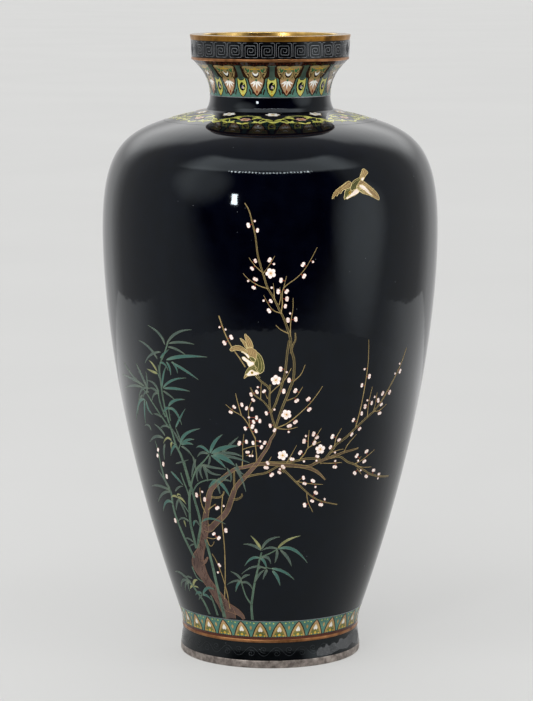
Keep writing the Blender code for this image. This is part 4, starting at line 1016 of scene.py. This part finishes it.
culms = {
    "bambooBackCulm": ("bamboo_back_culm", [
        (1.0, 0.8, (-41.2, 33), (-43.1, 36), (-45, 39), (-46.9, 43), (-48, 46.5), (-48, 49.5), (-47.6, 52.5),
         (-49.9, 56), (-50.8, 60.5)), (0.5, 0.25, (-50.8, 60), (-50.9, 65), (-51.6, 68)),
        (0.8, 0.8, (-39.4, 15.2), (-41.6, 19), (-45.4, 22), (-47.7, 23.5)),
        (0.7, 0.5, (-33.3, 15.3), (-34.1, 18.5), (-35.3, 21.6)), (0.6, 0.35, (-47.3, 23.6), (-50.5, 24.4)),
        (0.5, 0.3, (-44.3, 30), (-42.5, 26.8), (-38.5, 25.6))]),
    "bambooTallCulm": ("bamboo_tall_culm", [
        (0.95, 0.9, (-38.4, 36.2), (-38.8, 41), (-39, 44), (-38.2, 47.5), (-37.1, 51.5), (-35.8, 54.5)),
        (0.9, 0.85, (-37.1, 36.5), (-36, 39), (-34.1, 42), (-33.1, 44), (-33.3, 47.5), (-34.1, 51), (-34.8, 55),
         (-36, 59.5), (-36.8, 63)),
        (0.9, 0.45, (-35.5, 55.5), (-36.4, 59.9), (-37.8, 64.9), (-39.6, 67.7), (-40.6, 71.6), (-41.7, 74.9),
         (-42.7, 79.3), (-43.1, 84.9), (-42.7, 91), (-39.9, 94.9), (-37.8, 98.2)),
        (0.6, 0.35, (-41.7, 72.7), (-44.9, 75.7), (-48.8, 79.3), (-51.9, 82.1), (-54.8, 83.8)),
        (0.5, 0.4, (-39.4, 59.5), (-38.6, 57), (-37.5, 54.5), (-37, 52.5)),
        (0.55, 0.4, (-36.9, 52), (-34.8, 56), (-33.3, 58.5), (-31.1, 61.2), (-29.8, 62.2), (-26.7, 64.2),
         (-24.4, 66.1)), (0.45, 0.3, (-35.3, 53.2), (-31.5, 56.6), (-27, 58.1), (-22.4, 58.6)),
        (0.7, 0.4, (-42.9, 76), (-44.5, 79), (-45.1, 82), (-44.7, 84)), (0.4, 0.3, (-40.7, 75), (-40.8, 79)),
        (0.4, 0.3, (-38.8, 66.4), (-37.2, 68.3)), (0.4, 0.3, (-40.0, 67.8), (-42, 69)),
        (0.45, 0.3, (-38.4, 47), (-41, 49.5), (-43.8, 51.5)), (0.4, 0.3, (-43, 87), (-44.2, 89))]),
    "bambooYoungCulm": ("bamboo_young_culm", [
        (0.8, 0.45, (-10.7, 14.9), (-10.7, 19.1), (-9.4, 23.4), (-8.1, 27), (-6.4, 30.9), (-5.4, 33.8),
         (-4.1, 36.6)), (0.5, 0.3, (-10.8, 19.9), (-13.4, 22.4), (-14.7, 25.2), (-15.3, 27)),
        (0.4, 0.3, (-5.1, 35), (-0.8, 36.1), (3.5, 37.6)), (0.35, 0.25, (-6.3, 31.2), (-4, 31.9), (0.4, 31.5)),
        (1.1, 0.9, (-28.8, 14.9), (-29.2, 21), (-29.9, 26), (-30.3, 31), (-31.1, 36), (-31.9, 39.5)),
        (0.6, 0.5, (-27.9, 14.9), (-28.4, 18.5))]),
}
culmLines = []
for name, (node, stems) in culms.items():
    lines = [stemLine(first * bamboo["slender"], last * bamboo["slender"], *points) for first, last, *points in stems]
    stemCells(name, lines, "culm", "bamboo_enamel", 0.022, [node], stagger=True)
    culmLines += lines
culmRings = []
for line in culmLines:
    if line[0][2] > 0.5:  # only the stouter culms show their joints
        left, right = edges(line)
        culmRings.extend([left[i], right[i]] for i in range(6, len(line) - 2, 9))
wires("culmEdgeWires", [edge for line in culmLines for edge in edges(line)], "leafWire", "gilt_copper", 0.08, 0.04,
      stagger=True)
wires("culmNodeRings", culmRings, "darkBrown", "bark_enamel", 0.14, 0.045, stagger=True)
leafEdges = []
for name, finish, leaves in (("bambooGreyLeaves", "leafGrey", greyLeaves), ("bambooGreenLeaves", "leaf", greenLeaves),
                             ("bambooYellowLeaves", "leafYellow", yellowLeaves)):
    lines = [leafLine(leaf) for leaf in leaves]
    stemCells(name, lines, finish, "bamboo_enamel", 0.03, anchors=[leaf[:2] for leaf in leaves], stagger=True)
    leafEdges += [edge for line in lines for edge in edges(line)]
wires("leafEdgeWires", leafEdges, "leafWire", "gilt_copper", bamboo["edgeWire"], 0.05, stagger=True)
print("bamboo made")


birds = {"outlineWire": 0.16, "featherWire": 0.10, "eyeRing": 0.42, "pupil": 0.2,
         "eyesAt": [(27.5, 141.85), (-6.3, 91.05)]}

# Each bird: its parts, with finish and outline, and then the strokes of its feathers.
flyingBird = {
    "farWing": ("wingTan", [
        (28.0, 144.9), (27.1, 144.95), (25.7, 144.3), (24.7, 143.8), (23.2, 143.05), (22, 142.3), (21.2, 141.3),
        (20.9, 140.35), (21.5, 140.6), (22.1, 141.3), (22.7, 141.0), (23.4, 141.9), (24.1, 141.7), (24.9, 142.5),
        (26.2, 142.9), (27.7, 143.2), (28.6, 144.3)]),
    "belly": ("cream", [
        (25.9, 140.4), (27.1, 141.0), (28.6, 142.0), (30.2, 142.9), (31.5, 142.6), (31.1, 141.9), (29.7, 141.2),
        (27.7, 140.6), (26.3, 140.1)]),
    "back": ("olive", [
        (28, 143.4), (28.7, 144.4), (29.7, 145.15), (30.9, 145.55), (31.8, 145.8), (32.6, 145.5), (31.8, 144.8),
        (30.9, 144), (30.3, 143.4), (30.2, 142.8), (29.1, 142.6), (28.3, 142.3), (27.8, 142.8)]),
    "head": ("olive", [
        (25.3, 140.0), (25.4, 141.2), (25.7, 142.1), (26.2, 142.8), (27.2, 143.15), (28, 142.8), (28.1, 142.1),
        (27.4, 141.4), (26.5, 140.9)]),
    "nearWing": ("wingTan", [
        (30.5, 143.4), (30.9, 144), (32.1, 144.95), (33.3, 144.9), (34.5, 144.15), (36.3, 143), (37.8, 141.9),
        (38.9, 140.75), (39.1, 139.4), (38.1, 139.6), (36.6, 140.2), (34.8, 140.9), (32.7, 141.4), (31.5, 142),
        (30.6, 142.7)]),
    "wingBar": ("cream", [
        (31.4, 143.7), (32.8, 143.9), (34.2, 142.9), (35.6, 141.5), (36.4, 140.6), (34.9, 141.2), (33.4, 142.2),
        (32.0, 142.9)]),
    "wingRoot": ("olive", [(30.4, 143.3), (31.2, 143.2), (32.3, 142.3), (33.3, 141.6), (31.8, 142.0), (30.7, 142.8)]),
    "tail": ("wingTan", [
        (32.1, 145.8), (33, 147), (33.9, 148), (34.5, 148.2), (35.4, 147.8), (36, 147.1), (35.1, 146.5),
        (34.1, 145.8), (33.3, 145.0), (32.5, 145.1)]),
    "tailRoot": ("cream", [(32.6, 145.5), (33.4, 145.9), (33.9, 145.7), (33.3, 145.0), (32.7, 145.1)]),
}
flyingStrokes = [
    [(28.2, 144.6), (26, 143.7), (24, 142.6)], [(27.9, 144.2), (25.4, 143.2), (22.3, 141.6)],
    [(26.8, 144.7), (24.5, 143.4), (21.8, 141.7)], [(27.6, 143.7), (26.2, 143.3)],
    [(31.2, 144.0), (34.5, 143.2), (38.6, 140.6)], [(32.2, 144.5), (35.2, 143.1), (38.3, 140.6)],
    [(31.2, 143.5), (34.2, 142.2), (37.9, 140.0)], [(31.3, 142.8), (34.1, 141.6), (36.9, 140.3)],
    [(35.2, 143.6), (36.3, 142.0)], [(36.3, 142.9), (37.2, 141.3)], [(37.4, 142.1), (38.0, 140.7)],
    [(32.8, 145.7), (34.6, 147.9)], [(33.2, 145.6), (35.2, 147.6)], [(32.5, 145.9), (33.8, 147.6)],
    [(28.9, 144.2), (30.2, 144.9), (31.7, 145.4)], [(26.3, 142.4), (27.2, 142.7), (27.9, 142.4)],
]
perchedBird = {
    "farWing": ("wingTan", [
        (-13.8, 97.6), (-13.2, 98.3), (-11.75, 98.8), (-10, 98.7), (-8.9, 98.1), (-7.9, 97.4), (-8.35, 96.7),
        (-9.2, 97.1), (-10.3, 97.35), (-11.75, 97.5), (-12.9, 97.2), (-13.45, 97.2)]),
    "wingUnder": ("cream", [
        (-9.9, 97.05), (-9.1, 96.7), (-8.2, 96.0), (-7.5, 95.2), (-7.1, 95.6), (-7.7, 96.4), (-8.7, 97.0),
        (-9.4, 97.3)]),
    "leftTail": ("wingTan", [
        (-10.2, 101), (-9.6, 100.8), (-8.9, 100.4), (-8.1, 99.5), (-7.7, 98.2), (-8.35, 98.2), (-9.2, 99.5),
        (-9.9, 100.4)]),
    "rightTail": ("wingTan", [
        (-8.5, 102.3), (-7.8, 101.8), (-6.9, 101), (-6.2, 99.9), (-5.8, 98.4), (-6.7, 98.3), (-7.9, 98.3),
        (-8.2, 100.1), (-8.55, 101.4)]),
    "back": ("olive", [
        (-4.4, 97), (-3.5, 96.3), (-2.8, 95.4), (-2.3, 94), (-2.1, 92.6), (-2.4, 91.5), (-3.5, 90.8), (-4.1, 91.2),
        (-4.8, 91.7), (-5.1, 92.9), (-5.5, 93.4), (-5.4, 94), (-4.95, 94.7), (-4.7, 95.6), (-4.6, 96.3)]),
    "rump": ("wingTan", [
        (-7.8, 98.2), (-6.65, 98.5), (-5.4, 97.8), (-4.5, 97.1), (-4.6, 96), (-4.95, 94.8), (-5.8, 95.5),
        (-6.9, 95.8), (-7.5, 96.5), (-7.9, 97.4)]),
    "waist": ("olive", [(-6.95, 95.75), (-5.8, 95.5), (-4.95, 94.8), (-5.4, 94.2), (-6.3, 94.5), (-6.9, 95.1)]),
    "belly": ("cream", [
        (-9.7, 95.4), (-8.9, 95.6), (-7.8, 94.9), (-6.65, 94.3), (-5.7, 94.1), (-5.5, 93.5), (-6.3, 93.1),
        (-7.4, 92.8), (-8.1, 94), (-9.2, 94.7)]),
    "face": ("cream", [
        (-8.6, 90.35), (-7.8, 90.9), (-7.1, 91.6), (-6.2, 91.8), (-5.2, 91.3), (-3.6, 90.95), (-4.7, 90.4),
        (-6.4, 90.2), (-7.8, 90.05)]),
    "crown": ("olive", [
        (-8.65, 90.4), (-8.6, 91), (-7.9, 92), (-7.2, 92.6), (-6.1, 93), (-4.95, 92.75), (-4.4, 92), (-4.3, 91.3),
        (-5.2, 91.4), (-6.2, 91.9), (-7.1, 91.7), (-7.9, 90.9)]),
    "beak": ("wingTan", [(-9.15, 89.3), (-8.8, 90.3), (-8.5, 90.5), (-7.9, 90.1), (-8.4, 89.7)]),
}
perchedStrokes = [
    [(-13.3, 97.8), (-11.7, 98.2), (-9.9, 98.1), (-8.3, 97.3)], [(-12.6, 97.6), (-11, 97.9), (-9.3, 97.6)],
    [(-8.2, 101.4), (-7.6, 100), (-7.0, 98.4)], [(-7.4, 100.9), (-6.8, 99.6), (-6.3, 98.4)],
    [(-9.6, 100.4), (-8.6, 99.4), (-7.9, 98.2)], [(-7.3, 98.0), (-6.7, 96.2)], [(-6.6, 98.2), (-6.1, 95.9)],
    [(-5.9, 97.9), (-5.5, 95.6)], [(-5.2, 97.4), (-5.0, 95.4)],
    [(-4.3, 96.6), (-3.2, 94.6), (-3.0, 92.4), (-3.6, 91.4)],
    [(-4.4, 95.3), (-4.0, 93.6), (-4.2, 92.2)], [(-8.1, 91.2), (-7.2, 92.1), (-6.1, 92.5), (-5.0, 92.2)],
    [(-4.7, 90.4), (-5.0, 89.8), (-4.4, 89.4)], [(-4.1, 90.6), (-3.9, 89.9), (-3.4, 89.7)],
]
birdWires = []
for name, parts, node in (("flyingBird", flyingBird, "flying_bird"), ("perchedBird", perchedBird, "perched_bird")):
    for order, (part, (finish, outline)) in enumerate(parts.items()):
        smooth = smoothLine(outline, 4, closed=True)
        cells(f"{name}_{part}", [smooth], finish, "feather_enamel", 0.035 + 0.003 * order, [node], grid=0.8)
        birdWires.append(loop(smooth))
birdStrokes = [smoothLine(stroke, 4) for stroke in flyingStrokes + perchedStrokes]
wires("birdOutlineWires", birdWires, "brightWire", "gilt_copper", birds["outlineWire"], 0.078, stagger=True)
wires("birdFeatherWires", birdStrokes, "brightWire", "gilt_copper", birds["featherWire"], 0.078, stagger=True)
cells("birdEyeRings", [roundAt(*place, birds["eyeRing"], 12) for place in birds["eyesAt"]], "goldYellow",
      "gilt_copper", 0.085)
cells("birdEyes", [roundAt(*place, birds["pupil"], 10) for place in birds["eyesAt"]], "darkBrown", "brown_enamel",
      0.095)
print("birds made")


# The lower border and the foot.
foot = {"lappetTop": 14.5, "lappetBottom": 9.4, "dotBottom": 8.6, "bandBottom": 7.6, "rimTop": 2.4, "bandBack": 25.4,
        "lappets": 30, "start": -6.2, "rimInner": 23.4, "scrolls": 44, "scrollRadius": 26.5}

turned("lowerLappetGround", skin(foot["lappetTop"], foot["lappetBottom"], 14), "seaGreen",
       ["lower_lappet_enamel"])
turned("lowerDotEnamel", skin(foot["lappetBottom"], foot["dotBottom"], 3), "teaDot",
       ["lower_dot_enamel"])
wires("lowerBorderWire", [[(a, foot["lappetTop"] - 0.1) for a in range(0, 361, 2)]], "silverWire", "copper_band",
      0.22, 0.05, ["lower_border_wire"])

# Shapes of the border, in (degrees, height) from the middle of an arch or of the gap beside it.
archHalf = [(0, 14.2), (1.4, 13.45), (2.9, 12.3), (4.0, 11.1), (4.7, 10.1), (5.0, 9.45)]
archEdge = archHalf[::-1] + [(-x, y) for x, y in archHalf[1:]]
archTop = mirrored([(0, 14.0), (1.0, 13.35), (2.2, 12.4), (1.2, 12.9), (0, 13.15)])
archMiddle = mirrored([(0, 11.7), (1.8, 11.4), (3.0, 10.6), (3.7, 9.5)])
spade = mirrored([(0, 12.7), (0.7, 12.2), (1.35, 11.6), (1.3, 11.15), (0.7, 10.95), (0, 11.2)])
archLeaves = [petalShape(s * 3.0, 10.0, 1.5, 0.65, s * -120) for s in (-1, 1)]
archSeeds = [roundAt(0, 10.0, 0.42, 8), roundAt(2.6, 9.8, 0.25, 6), roundAt(-2.6, 9.8, 0.25, 6)]
gapDots = [roundAt(-2.2, 13.7, 0.22, 6), roundAt(2.2, 13.7, 0.22, 6), roundAt(0, 13.9, 0.16, 6)]

onArch = foot["start"]
between = foot["start"] + 180 / foot["lappets"]
for make, name, start, shapes, finish, slotName, *sizes in (
        (cells, "archFields", onArch, [mirrored(archHalf)], "ochre", "brown_enamel", 0.02),
        (cells, "archTops", onArch, [archTop], "fleshTan", "brown_enamel", 0.03),
        (wires, "archOutlines", onArch, [archEdge], "darkBrown", "brown_enamel", 0.36, 0.05),
        (cells, "archMiddles", onArch, [archMiddle], "oliveGold", "brown_enamel", 0.03),
        (cells, "archSpades", onArch, [spade], "mutedWhite", "petal_enamel", 0.045),
        (cells, "archLeaves", onArch, archLeaves, "mossGreen", "green_enamel", 0.04),
        (cells, "archYellows", onArch, archSeeds, "goldYellow", "gilt_copper", 0.045),
        (cells, "borderDrops", between, [petalShape(0, 12.9, 1.4, 0.45, 0)], "ochre", "gilt_copper", 0.035),
        (cells, "borderDots", between, gapDots, "limeYellow", "green_enamel", 0.035)):
    make(name, repeated(shapes, foot["lappets"], start), finish, slotName, *sizes)
cells("lowerTeeth", [roundAt(a, 9.32, 0.17, 6) for a in np.arange(0, 360, 1.5)], "darkBrown", "brown_enamel", 0.03)
footBandMiddle = (foot["dotBottom"] + foot["bandBottom"]) / 2
turned("footBand", halfRound(float(radiusAt(footBandMiddle)) - 0.10, footBandMiddle, 0.22, 0.5)
       + [(foot["bandBack"], foot["bandBottom"]), (foot["bandBack"], foot["dotBottom"])], "copperBand",
       ["foot_band"])
turned("footEnamel", skin(foot["bandBottom"], foot["rimTop"], 10), "footBlack", ["foot_enamel"])


def footScrolls():
    # a running wave with a spiral in each hollow
    pitch = 360 / foot["scrolls"]
    middle = (foot["bandBottom"] + foot["rimTop"]) / 2
    paths = [[(a, middle + 1.3 * math.sin(math.radians(a * foot["scrolls"] / 2))) for a in np.arange(0, 361, 1.0)]]
    for k in range(foot["scrolls"]):
        way = 1 if k % 2 else -1
        spiral = []
        for t in np.linspace(0.15, 1, 16):
            turn, reach = math.radians(560 * t + 90 * way), 1.25 * t
            spiral.append(((k + 0.5) * pitch + math.degrees(reach * math.cos(turn) / foot["scrollRadius"]),
                           middle + way * 0.55 + 0.8 * reach * math.sin(turn)))
        paths.append(spiral)
    return paths


wires("footScrollWires", footScrolls(), "dullWire", "tarnished_silver", 0.10, 0.03)
wornOutline = smoothLine([(31, 3.0), (31.5, 4.4), (34, 5.3), (37, 5.0), (39, 6.0), (41, 5.2), (45, 5.9), (49, 5.4),
                          (52, 6.6), (57, 6.0), (63, 6.9), (70, 6.3), (78, 6.8), (82, 5.4), (80, 3.9), (72, 3.3),
                          (66, 3.9), (58, 3.1), (50, 3.4), (42, 2.8), (36, 2.7)], 4, closed=True)
wornOutline[:, 1] = np.maximum(wornOutline[:, 1] + [0.10 * math.sin(2.3 * i) for i in range(len(wornOutline))], 2.5)
cells("footWornPatch", [wornOutline], "wornBlack", "midnight_enamel", 0.045)
rimProfile = halfRound(26.75, foot["rimTop"] - 0.3, 0.27, 0.3, (90, 65, 40, 15, 0))
rimProfile += halfRound(26.4, 0.62, 0.62, 0.62, (0, -20, -45, -70, -90))
rimProfile += [(foot["rimInner"] + 0.3, 0), (foot["rimInner"], 0.3), (foot["rimInner"], foot["rimTop"])]
turned("footRim", rimProfile, "tarnishedSilver", ["foot_rim"])
print("foot made")


# The inside and the underneath. The faces of the lining and of the inner enamel are depths under the wall.
inside = {"liningFace": 2.5, "liningBack": 3.0, "enamelBack": 2.7, "enamelFace": 3.3, "baseTop": 9.5,
          "baseBottom": 8.9}

liningLine = [(float(radiusAt(h)), h) for h in np.linspace(lip["rimBottom"], 164, 24)] + [(18.3, 162), (18.3, 160.4)]
turned("mouthLining", [(r - inside["liningFace"], z) for r, z in liningLine]
       + [(r - inside["liningBack"], z) for r, z in reversed(liningLine)], "giltCopper",
       ["mouth_lining"])
innerLine = [tuple(p) for p in shoulderLine[24::12]] + [tuple(p) for p in cubic(wall["belly"], 60)[1:-1]]
innerSection = offsetSkin(innerLine, inside["enamelBack"], inside["enamelFace"])
innerBack, innerFace = innerSection[:len(innerLine)], innerSection[len(innerLine):]
innerFace = [(0, inside["baseTop"]), (23.4, inside["baseTop"])] + [p for p in innerFace if p[1] > 9.8]
innerBack = [p for p in innerBack if p[1] > 9.2] + [(24.0, inside["baseBottom"]), (0, inside["baseBottom"])]
turned("innerCounterEnamel", innerFace + innerBack, "counter", ["inner_counter_enamel"],
       onAxis=True)
turned("baseCounterEnamel", [(0, 7.2), (23.3, 7.2), (23.35, 6.6), (23.0, 6.4), (0, 6.4)], "counter",
       ["base_counter_enamel"], onAxis=True)
for node in ("body_core", "neck_core", "foot_core", "base_plate"):
    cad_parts[node].data.materials.clear()
    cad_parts[node].data.materials.append(finishes["rawCopper"])
print("inside made")


# The studio: pale floor, soft light, camera. The gloss of the vase mirrors the room that the world draws.
studio = {
    "floorRadius": 0.34,      # the board that shows in the gloss of the vase
    "farFloor": 40.0,
    "floorGlow": 0.345,       # light let through the board from below, so that shadows stay faint
    "fillPower": 6.5,         # soft light on the picture, watts
    "windowPower": 2.6,       # small window that leaves the one bright spot on the shoulder
    "cardGlow": 1.35,         # pale cards lying beside the vase, seen only in its gloss
    "cardInner": 0.07, "cardOuter": 0.5, "cardFront": -0.1, "cardBack": 0.4, "cardHeight": 0.001,
}
room = {
    # all in degrees round from the front and up from the floor
    "dark": {"width": 52, "height": 40, "middle": 20},  # the dark front of the room, where the camera stands
    "panelGlow": 2.4,         # long ceiling panel that lights the shoulder
    "dotsUp": 41.6, "dotsPerDegree": 2.17, "dotGlow": 45.0,  # row of small ceiling lamps
    "backWallGlow": 1.2,
    "patchGlow": 1.3,
    "patches": {"right": (64, 2, 20, 20), "left": (-52, 27, 22, 17)},  # place and size of two soft windows
    "ceiling": (0.55, 0.55, 0.57, 1),
    "backdrop": "#dcddde",    # what the camera sees behind the vase
}


def flatRing(name, inner, outer, count=64):
    turns = np.linspace(0, 2 * math.pi, count, endpoint=False)
    rings = [(radius * math.cos(t), radius * math.sin(t), 0) for radius in (outer, inner) if radius for t in turns]
    faces = [list(range(count))]
    if inner:
        faces = [(i, (i + 1) % count, count + (i + 1) % count, count + i) for i in range(count)]
    ring = inScene(name, meshOf(name, rings, faces))
    return ring


# matt painted board: even pale grey with the faintest mottling
board, tree, shader, place = newMaterial("matt painted board", {
    "Roughness": 0.9, "Specular IOR Level": 0.1, "Emission Strength": studio["floorGlow"],
    "Emission Color": linear("#fffffd")})
mottle = addNode(tree, "ShaderNodeTexNoise", {"Scale": 4.0, "Detail": 3.0}, {"Vector": place})
mottling = addNode(tree, "ShaderNodeValToRGB", {"stops": [(0.3, "#8f8f8e"), (0.7, "#939392")]},
                   {"Fac": mottle.outputs["Fac"]})
tree.links.new(mottling.outputs["Color"], shader.inputs["Base Color"])
nearFloor = flatRing("floorNear", 0, studio["floorRadius"])
farFloor = flatRing("floorFar", studio["floorRadius"], studio["farFloor"])
for piece in (nearFloor, farFloor):
    piece.data.materials.append(board)
farFloor.visible_glossy = False  # the vase mirrors only the board that it stands on

# glowing card: plain white light that fades out towards the vase and towards the front
glowing, tree, shader, place = newMaterial("glowing card", {
    "Roughness": 1.0, "Specular IOR Level": 0.0, "Base Color": linear("#000000"),
    "Emission Color": linear("#ffffff"), "Emission Strength": studio["cardGlow"]})
spot = addNode(tree, "ShaderNodeSeparateXYZ", {}, {"Vector": place})
outward = addNode(tree, "ShaderNodeMath", {"operation": "ABSOLUTE"}, {0: spot.outputs["X"]})
rise = addNode(tree, "ShaderNodeMapRange",
               {"interpolation_type": "SMOOTHSTEP", "From Min": studio["cardInner"], "From Max": 0.30},
               {"Value": outward.outputs["Value"]})
back = addNode(tree, "ShaderNodeMapRange",
               {"interpolation_type": "SMOOTHSTEP", "From Min": studio["cardFront"], "From Max": 0.12},
               {"Value": spot.outputs["Y"]})
strength = addNode(tree, "ShaderNodeMath", {"operation": "MULTIPLY"},
                   {0: rise.outputs["Result"], 1: back.outputs["Result"]})
tree.links.new(strength.outputs["Value"], shader.inputs["Alpha"])
for way in (-1, 1):
    corners = [(way * studio[across], studio[along], studio["cardHeight"]) for across, along in (
        ("cardInner", "cardFront"), ("cardOuter", "cardFront"), ("cardOuter", "cardBack"), ("cardInner", "cardBack"))]
    card = inScene("sideCard", meshOf("sideCard", corners, [(0, 1, 2, 3)]))
    card.data.materials.append(glowing)
    card.visible_camera = card.visible_diffuse = card.visible_shadow = False

world = bpy.data.worlds.new("studio")
bpy.context.scene.world = world
world.use_nodes = True
tree = world.node_tree
direction = addNode(tree, "ShaderNodeTexCoord", {}, {}).outputs["Generated"]
axes = addNode(tree, "ShaderNodeSeparateXYZ", {}, {"Vector": direction}).outputs

# Each step of the light: its name, what it does, then numbers or the names of earlier steps. A FADE goes
# smoothly from 0 to 1 as its first value goes from the second to the third.
lightSteps = [
    ("front", "MULTIPLY", "y", -1.0),
    ("turn", "ARCTAN2", "x", "front"),
    ("around", "DEGREES", "turn"),
    ("tilt", "ARCSINE", "z"),
    ("up", "DEGREES", "tilt"),
    ("away", "ABSOLUTE", "around"),
    ("half", "DIVIDE", "away", 180.0),
    ("overhead", "FADE", "up", 38.0, 52.0),
    ("across", "DIVIDE", "away", room["dark"]["width"]),
    ("acrossPower", "POWER", "across", 2.5),
    ("over", "SUBTRACT", "up", room["dark"]["middle"]),
    ("overPart", "DIVIDE", "over", room["dark"]["height"]),
    ("overSize", "ABSOLUTE", "overPart"),
    ("overPower", "POWER", "overSize", 2.5),
    ("fromDark", "ADD", "acrossPower", "overPower"),
    ("open", "FADE", "fromDark", 0.7, 1.7),
    ("slant", "MULTIPLY", "away", 0.1),
    ("slanted", "ADD", "up", "slant"),
    ("panelBottom", "FADE", "slanted", 43.0, 47.0),
    ("panelTop", "FADE", "up", 66.0, 59.0),
    ("panelEnds", "FADE", "away", 86.0, 62.0),
    ("panelTall", "MULTIPLY", "panelBottom", "panelTop"),
    ("panel", "MULTIPLY", "panelTall", "panelEnds"),
    ("wallBottom", "FADE", "up", 12.0, 26.0),
    ("wallTop", "FADE", "up", 60.0, 53.0),
    ("wallEnds", "FADE", "away", 125.0, 150.0),
    ("wallTall", "MULTIPLY", "wallBottom", "wallTop"),
    ("backWall", "MULTIPLY", "wallTall", "wallEnds"),
    ("fromRow", "SUBTRACT", "up", room["dotsUp"]),
    ("rowSize", "ABSOLUTE", "fromRow"),
    ("row", "FADE", "rowSize", 1.2, 0.5),
    ("beat", "MULTIPLY", "around", room["dotsPerDegree"]),
    ("wave", "COSINE", "beat"),
    ("lamps", "FADE", "wave", 0.35, 0.8),
    ("rowEnds", "FADE", "away", 36.0, 33.0),
    ("rowLamps", "MULTIPLY", "row", "lamps"),
    ("dots", "MULTIPLY", "rowLamps", "rowEnds"),
    ("panelLight", "MULTIPLY", "panel", room["panelGlow"]),
    ("dotLight", "MULTIPLY", "dots", room["dotGlow"]),
    ("backLight", "MULTIPLY", "backWall", room["backWallGlow"]),
    ("panelAndDots", "ADD", "panelLight", "dotLight"),
    ("glow", "ADD", "panelAndDots", "backLight"),
]
for side, (aroundAt, upAt, wide, tall) in room["patches"].items():
    lightSteps += [
        (side + "X", "SUBTRACT", "around", aroundAt), (side + "Wide", "DIVIDE", side + "X", wide),
        (side + "Y", "SUBTRACT", "up", upAt), (side + "Tall", "DIVIDE", side + "Y", tall),
        (side + "WideSquare", "MULTIPLY", side + "Wide", side + "Wide"),
        (side + "TallSquare", "MULTIPLY", side + "Tall", side + "Tall"),
        (side + "From", "ADD", side + "WideSquare", side + "TallSquare"),
        (side + "Patch", "FADE", side + "From", 1.6, 0.0),
        (side + "Light", "MULTIPLY", side + "Patch", room["patchGlow"]),
        ("glow", "ADD", "glow", side + "Light"),
    ]
light = {"x": axes["X"], "y": axes["Y"], "z": axes["Z"]}
for name, operation, *values in lightSteps:
    if operation == "FADE":
        light[name] = addNode(tree, "ShaderNodeMapRange",
                              {"interpolation_type": "SMOOTHSTEP", "From Min": values[1], "From Max": values[2]},
                              {"Value": light[values[0]]}).outputs["Result"]
    else:
        numbers = {i: value for i, value in enumerate(values) if not isinstance(value, str)}
        links = {i: light[value] for i, value in enumerate(values) if isinstance(value, str)}
        light[name] = addNode(tree, "ShaderNodeMath", {"operation": operation, **numbers}, links).outputs["Value"]

# grey walls, a little brighter to the sides, from the front (0) round to the back (1)
walls = addNode(tree, "ShaderNodeValToRGB", {"stops": [
    (0.0, 0.55), (0.30, 0.60), (0.42, 0.75), (0.58, 0.60), (0.68, 0.55), (0.78, 1.05), (0.86, 0.85), (0.93, 0.75),
    (1.0, 0.62)]}, {"Fac": light["half"]})
bare = addNode(tree, "ShaderNodeMixRGB", {"Color2": room["ceiling"]},
               {"Fac": light["overhead"], "Color1": walls.outputs["Color"]})
lit = addNode(tree, "ShaderNodeMixRGB", {"blend_type": "MULTIPLY", "Fac": 1.0},
              {"Color1": bare.outputs["Color"], "Color2": light["open"]})
total = addNode(tree, "ShaderNodeMixRGB", {"blend_type": "ADD", "Fac": 1.0},
                {"Color1": lit.outputs["Color"], "Color2": light["glow"]})
seen = addNode(tree, "ShaderNodeLightPath", {}, {})
shown = addNode(tree, "ShaderNodeMixRGB", {"Color2": linear(room["backdrop"])},
                {"Fac": seen.outputs["Is Camera Ray"], "Color1": total.outputs["Color"]})
tree.links.new(shown.outputs["Color"], tree.nodes["Background"].inputs["Color"])


def softLight(name, place, aim, size, power, inGloss):
    lamp = bpy.data.lights.new(name, "AREA")
    lamp.shape = "RECTANGLE"
    lamp.size, lamp.size_y = size
    lamp.energy = power
    lightObject = inScene(name, lamp)
    lightObject.location = place
    lightObject.rotation_euler = (Vector(aim) - Vector(place)).to_track_quat("-Z", "Y").to_euler()
    lightObject.visible_glossy = inGloss


softLight("frontFill", (-0.15, -1.15, 0.32), (0, 0, 0.09), (0.8, 0.4), studio["fillPower"], False)
softLight("smallWindow", (-0.50, -1.11, 0.43), (-0.010, -0.048, 0.1406), (0.085, 0.15), studio["windowPower"], True)

view = {"lens": 149.6, "sensor": 36, "shift": -0.0053, "place": (0, -0.863, 0.2124), "tiltDown": 8.02, "far": 60}
camera = bpy.data.cameras.new("camera")
camera.lens, camera.sensor_width = view["lens"], view["sensor"]
camera.shift_x, camera.clip_end = view["shift"], view["far"]
viewer = inScene("camera", camera)
viewer.location = view["place"]
viewer.rotation_euler = (math.radians(90 - view["tiltDown"]), 0, 0)
bpy.context.scene.camera = viewer
bpy.context.scene.view_settings.view_transform = "Standard"
print("studio made")
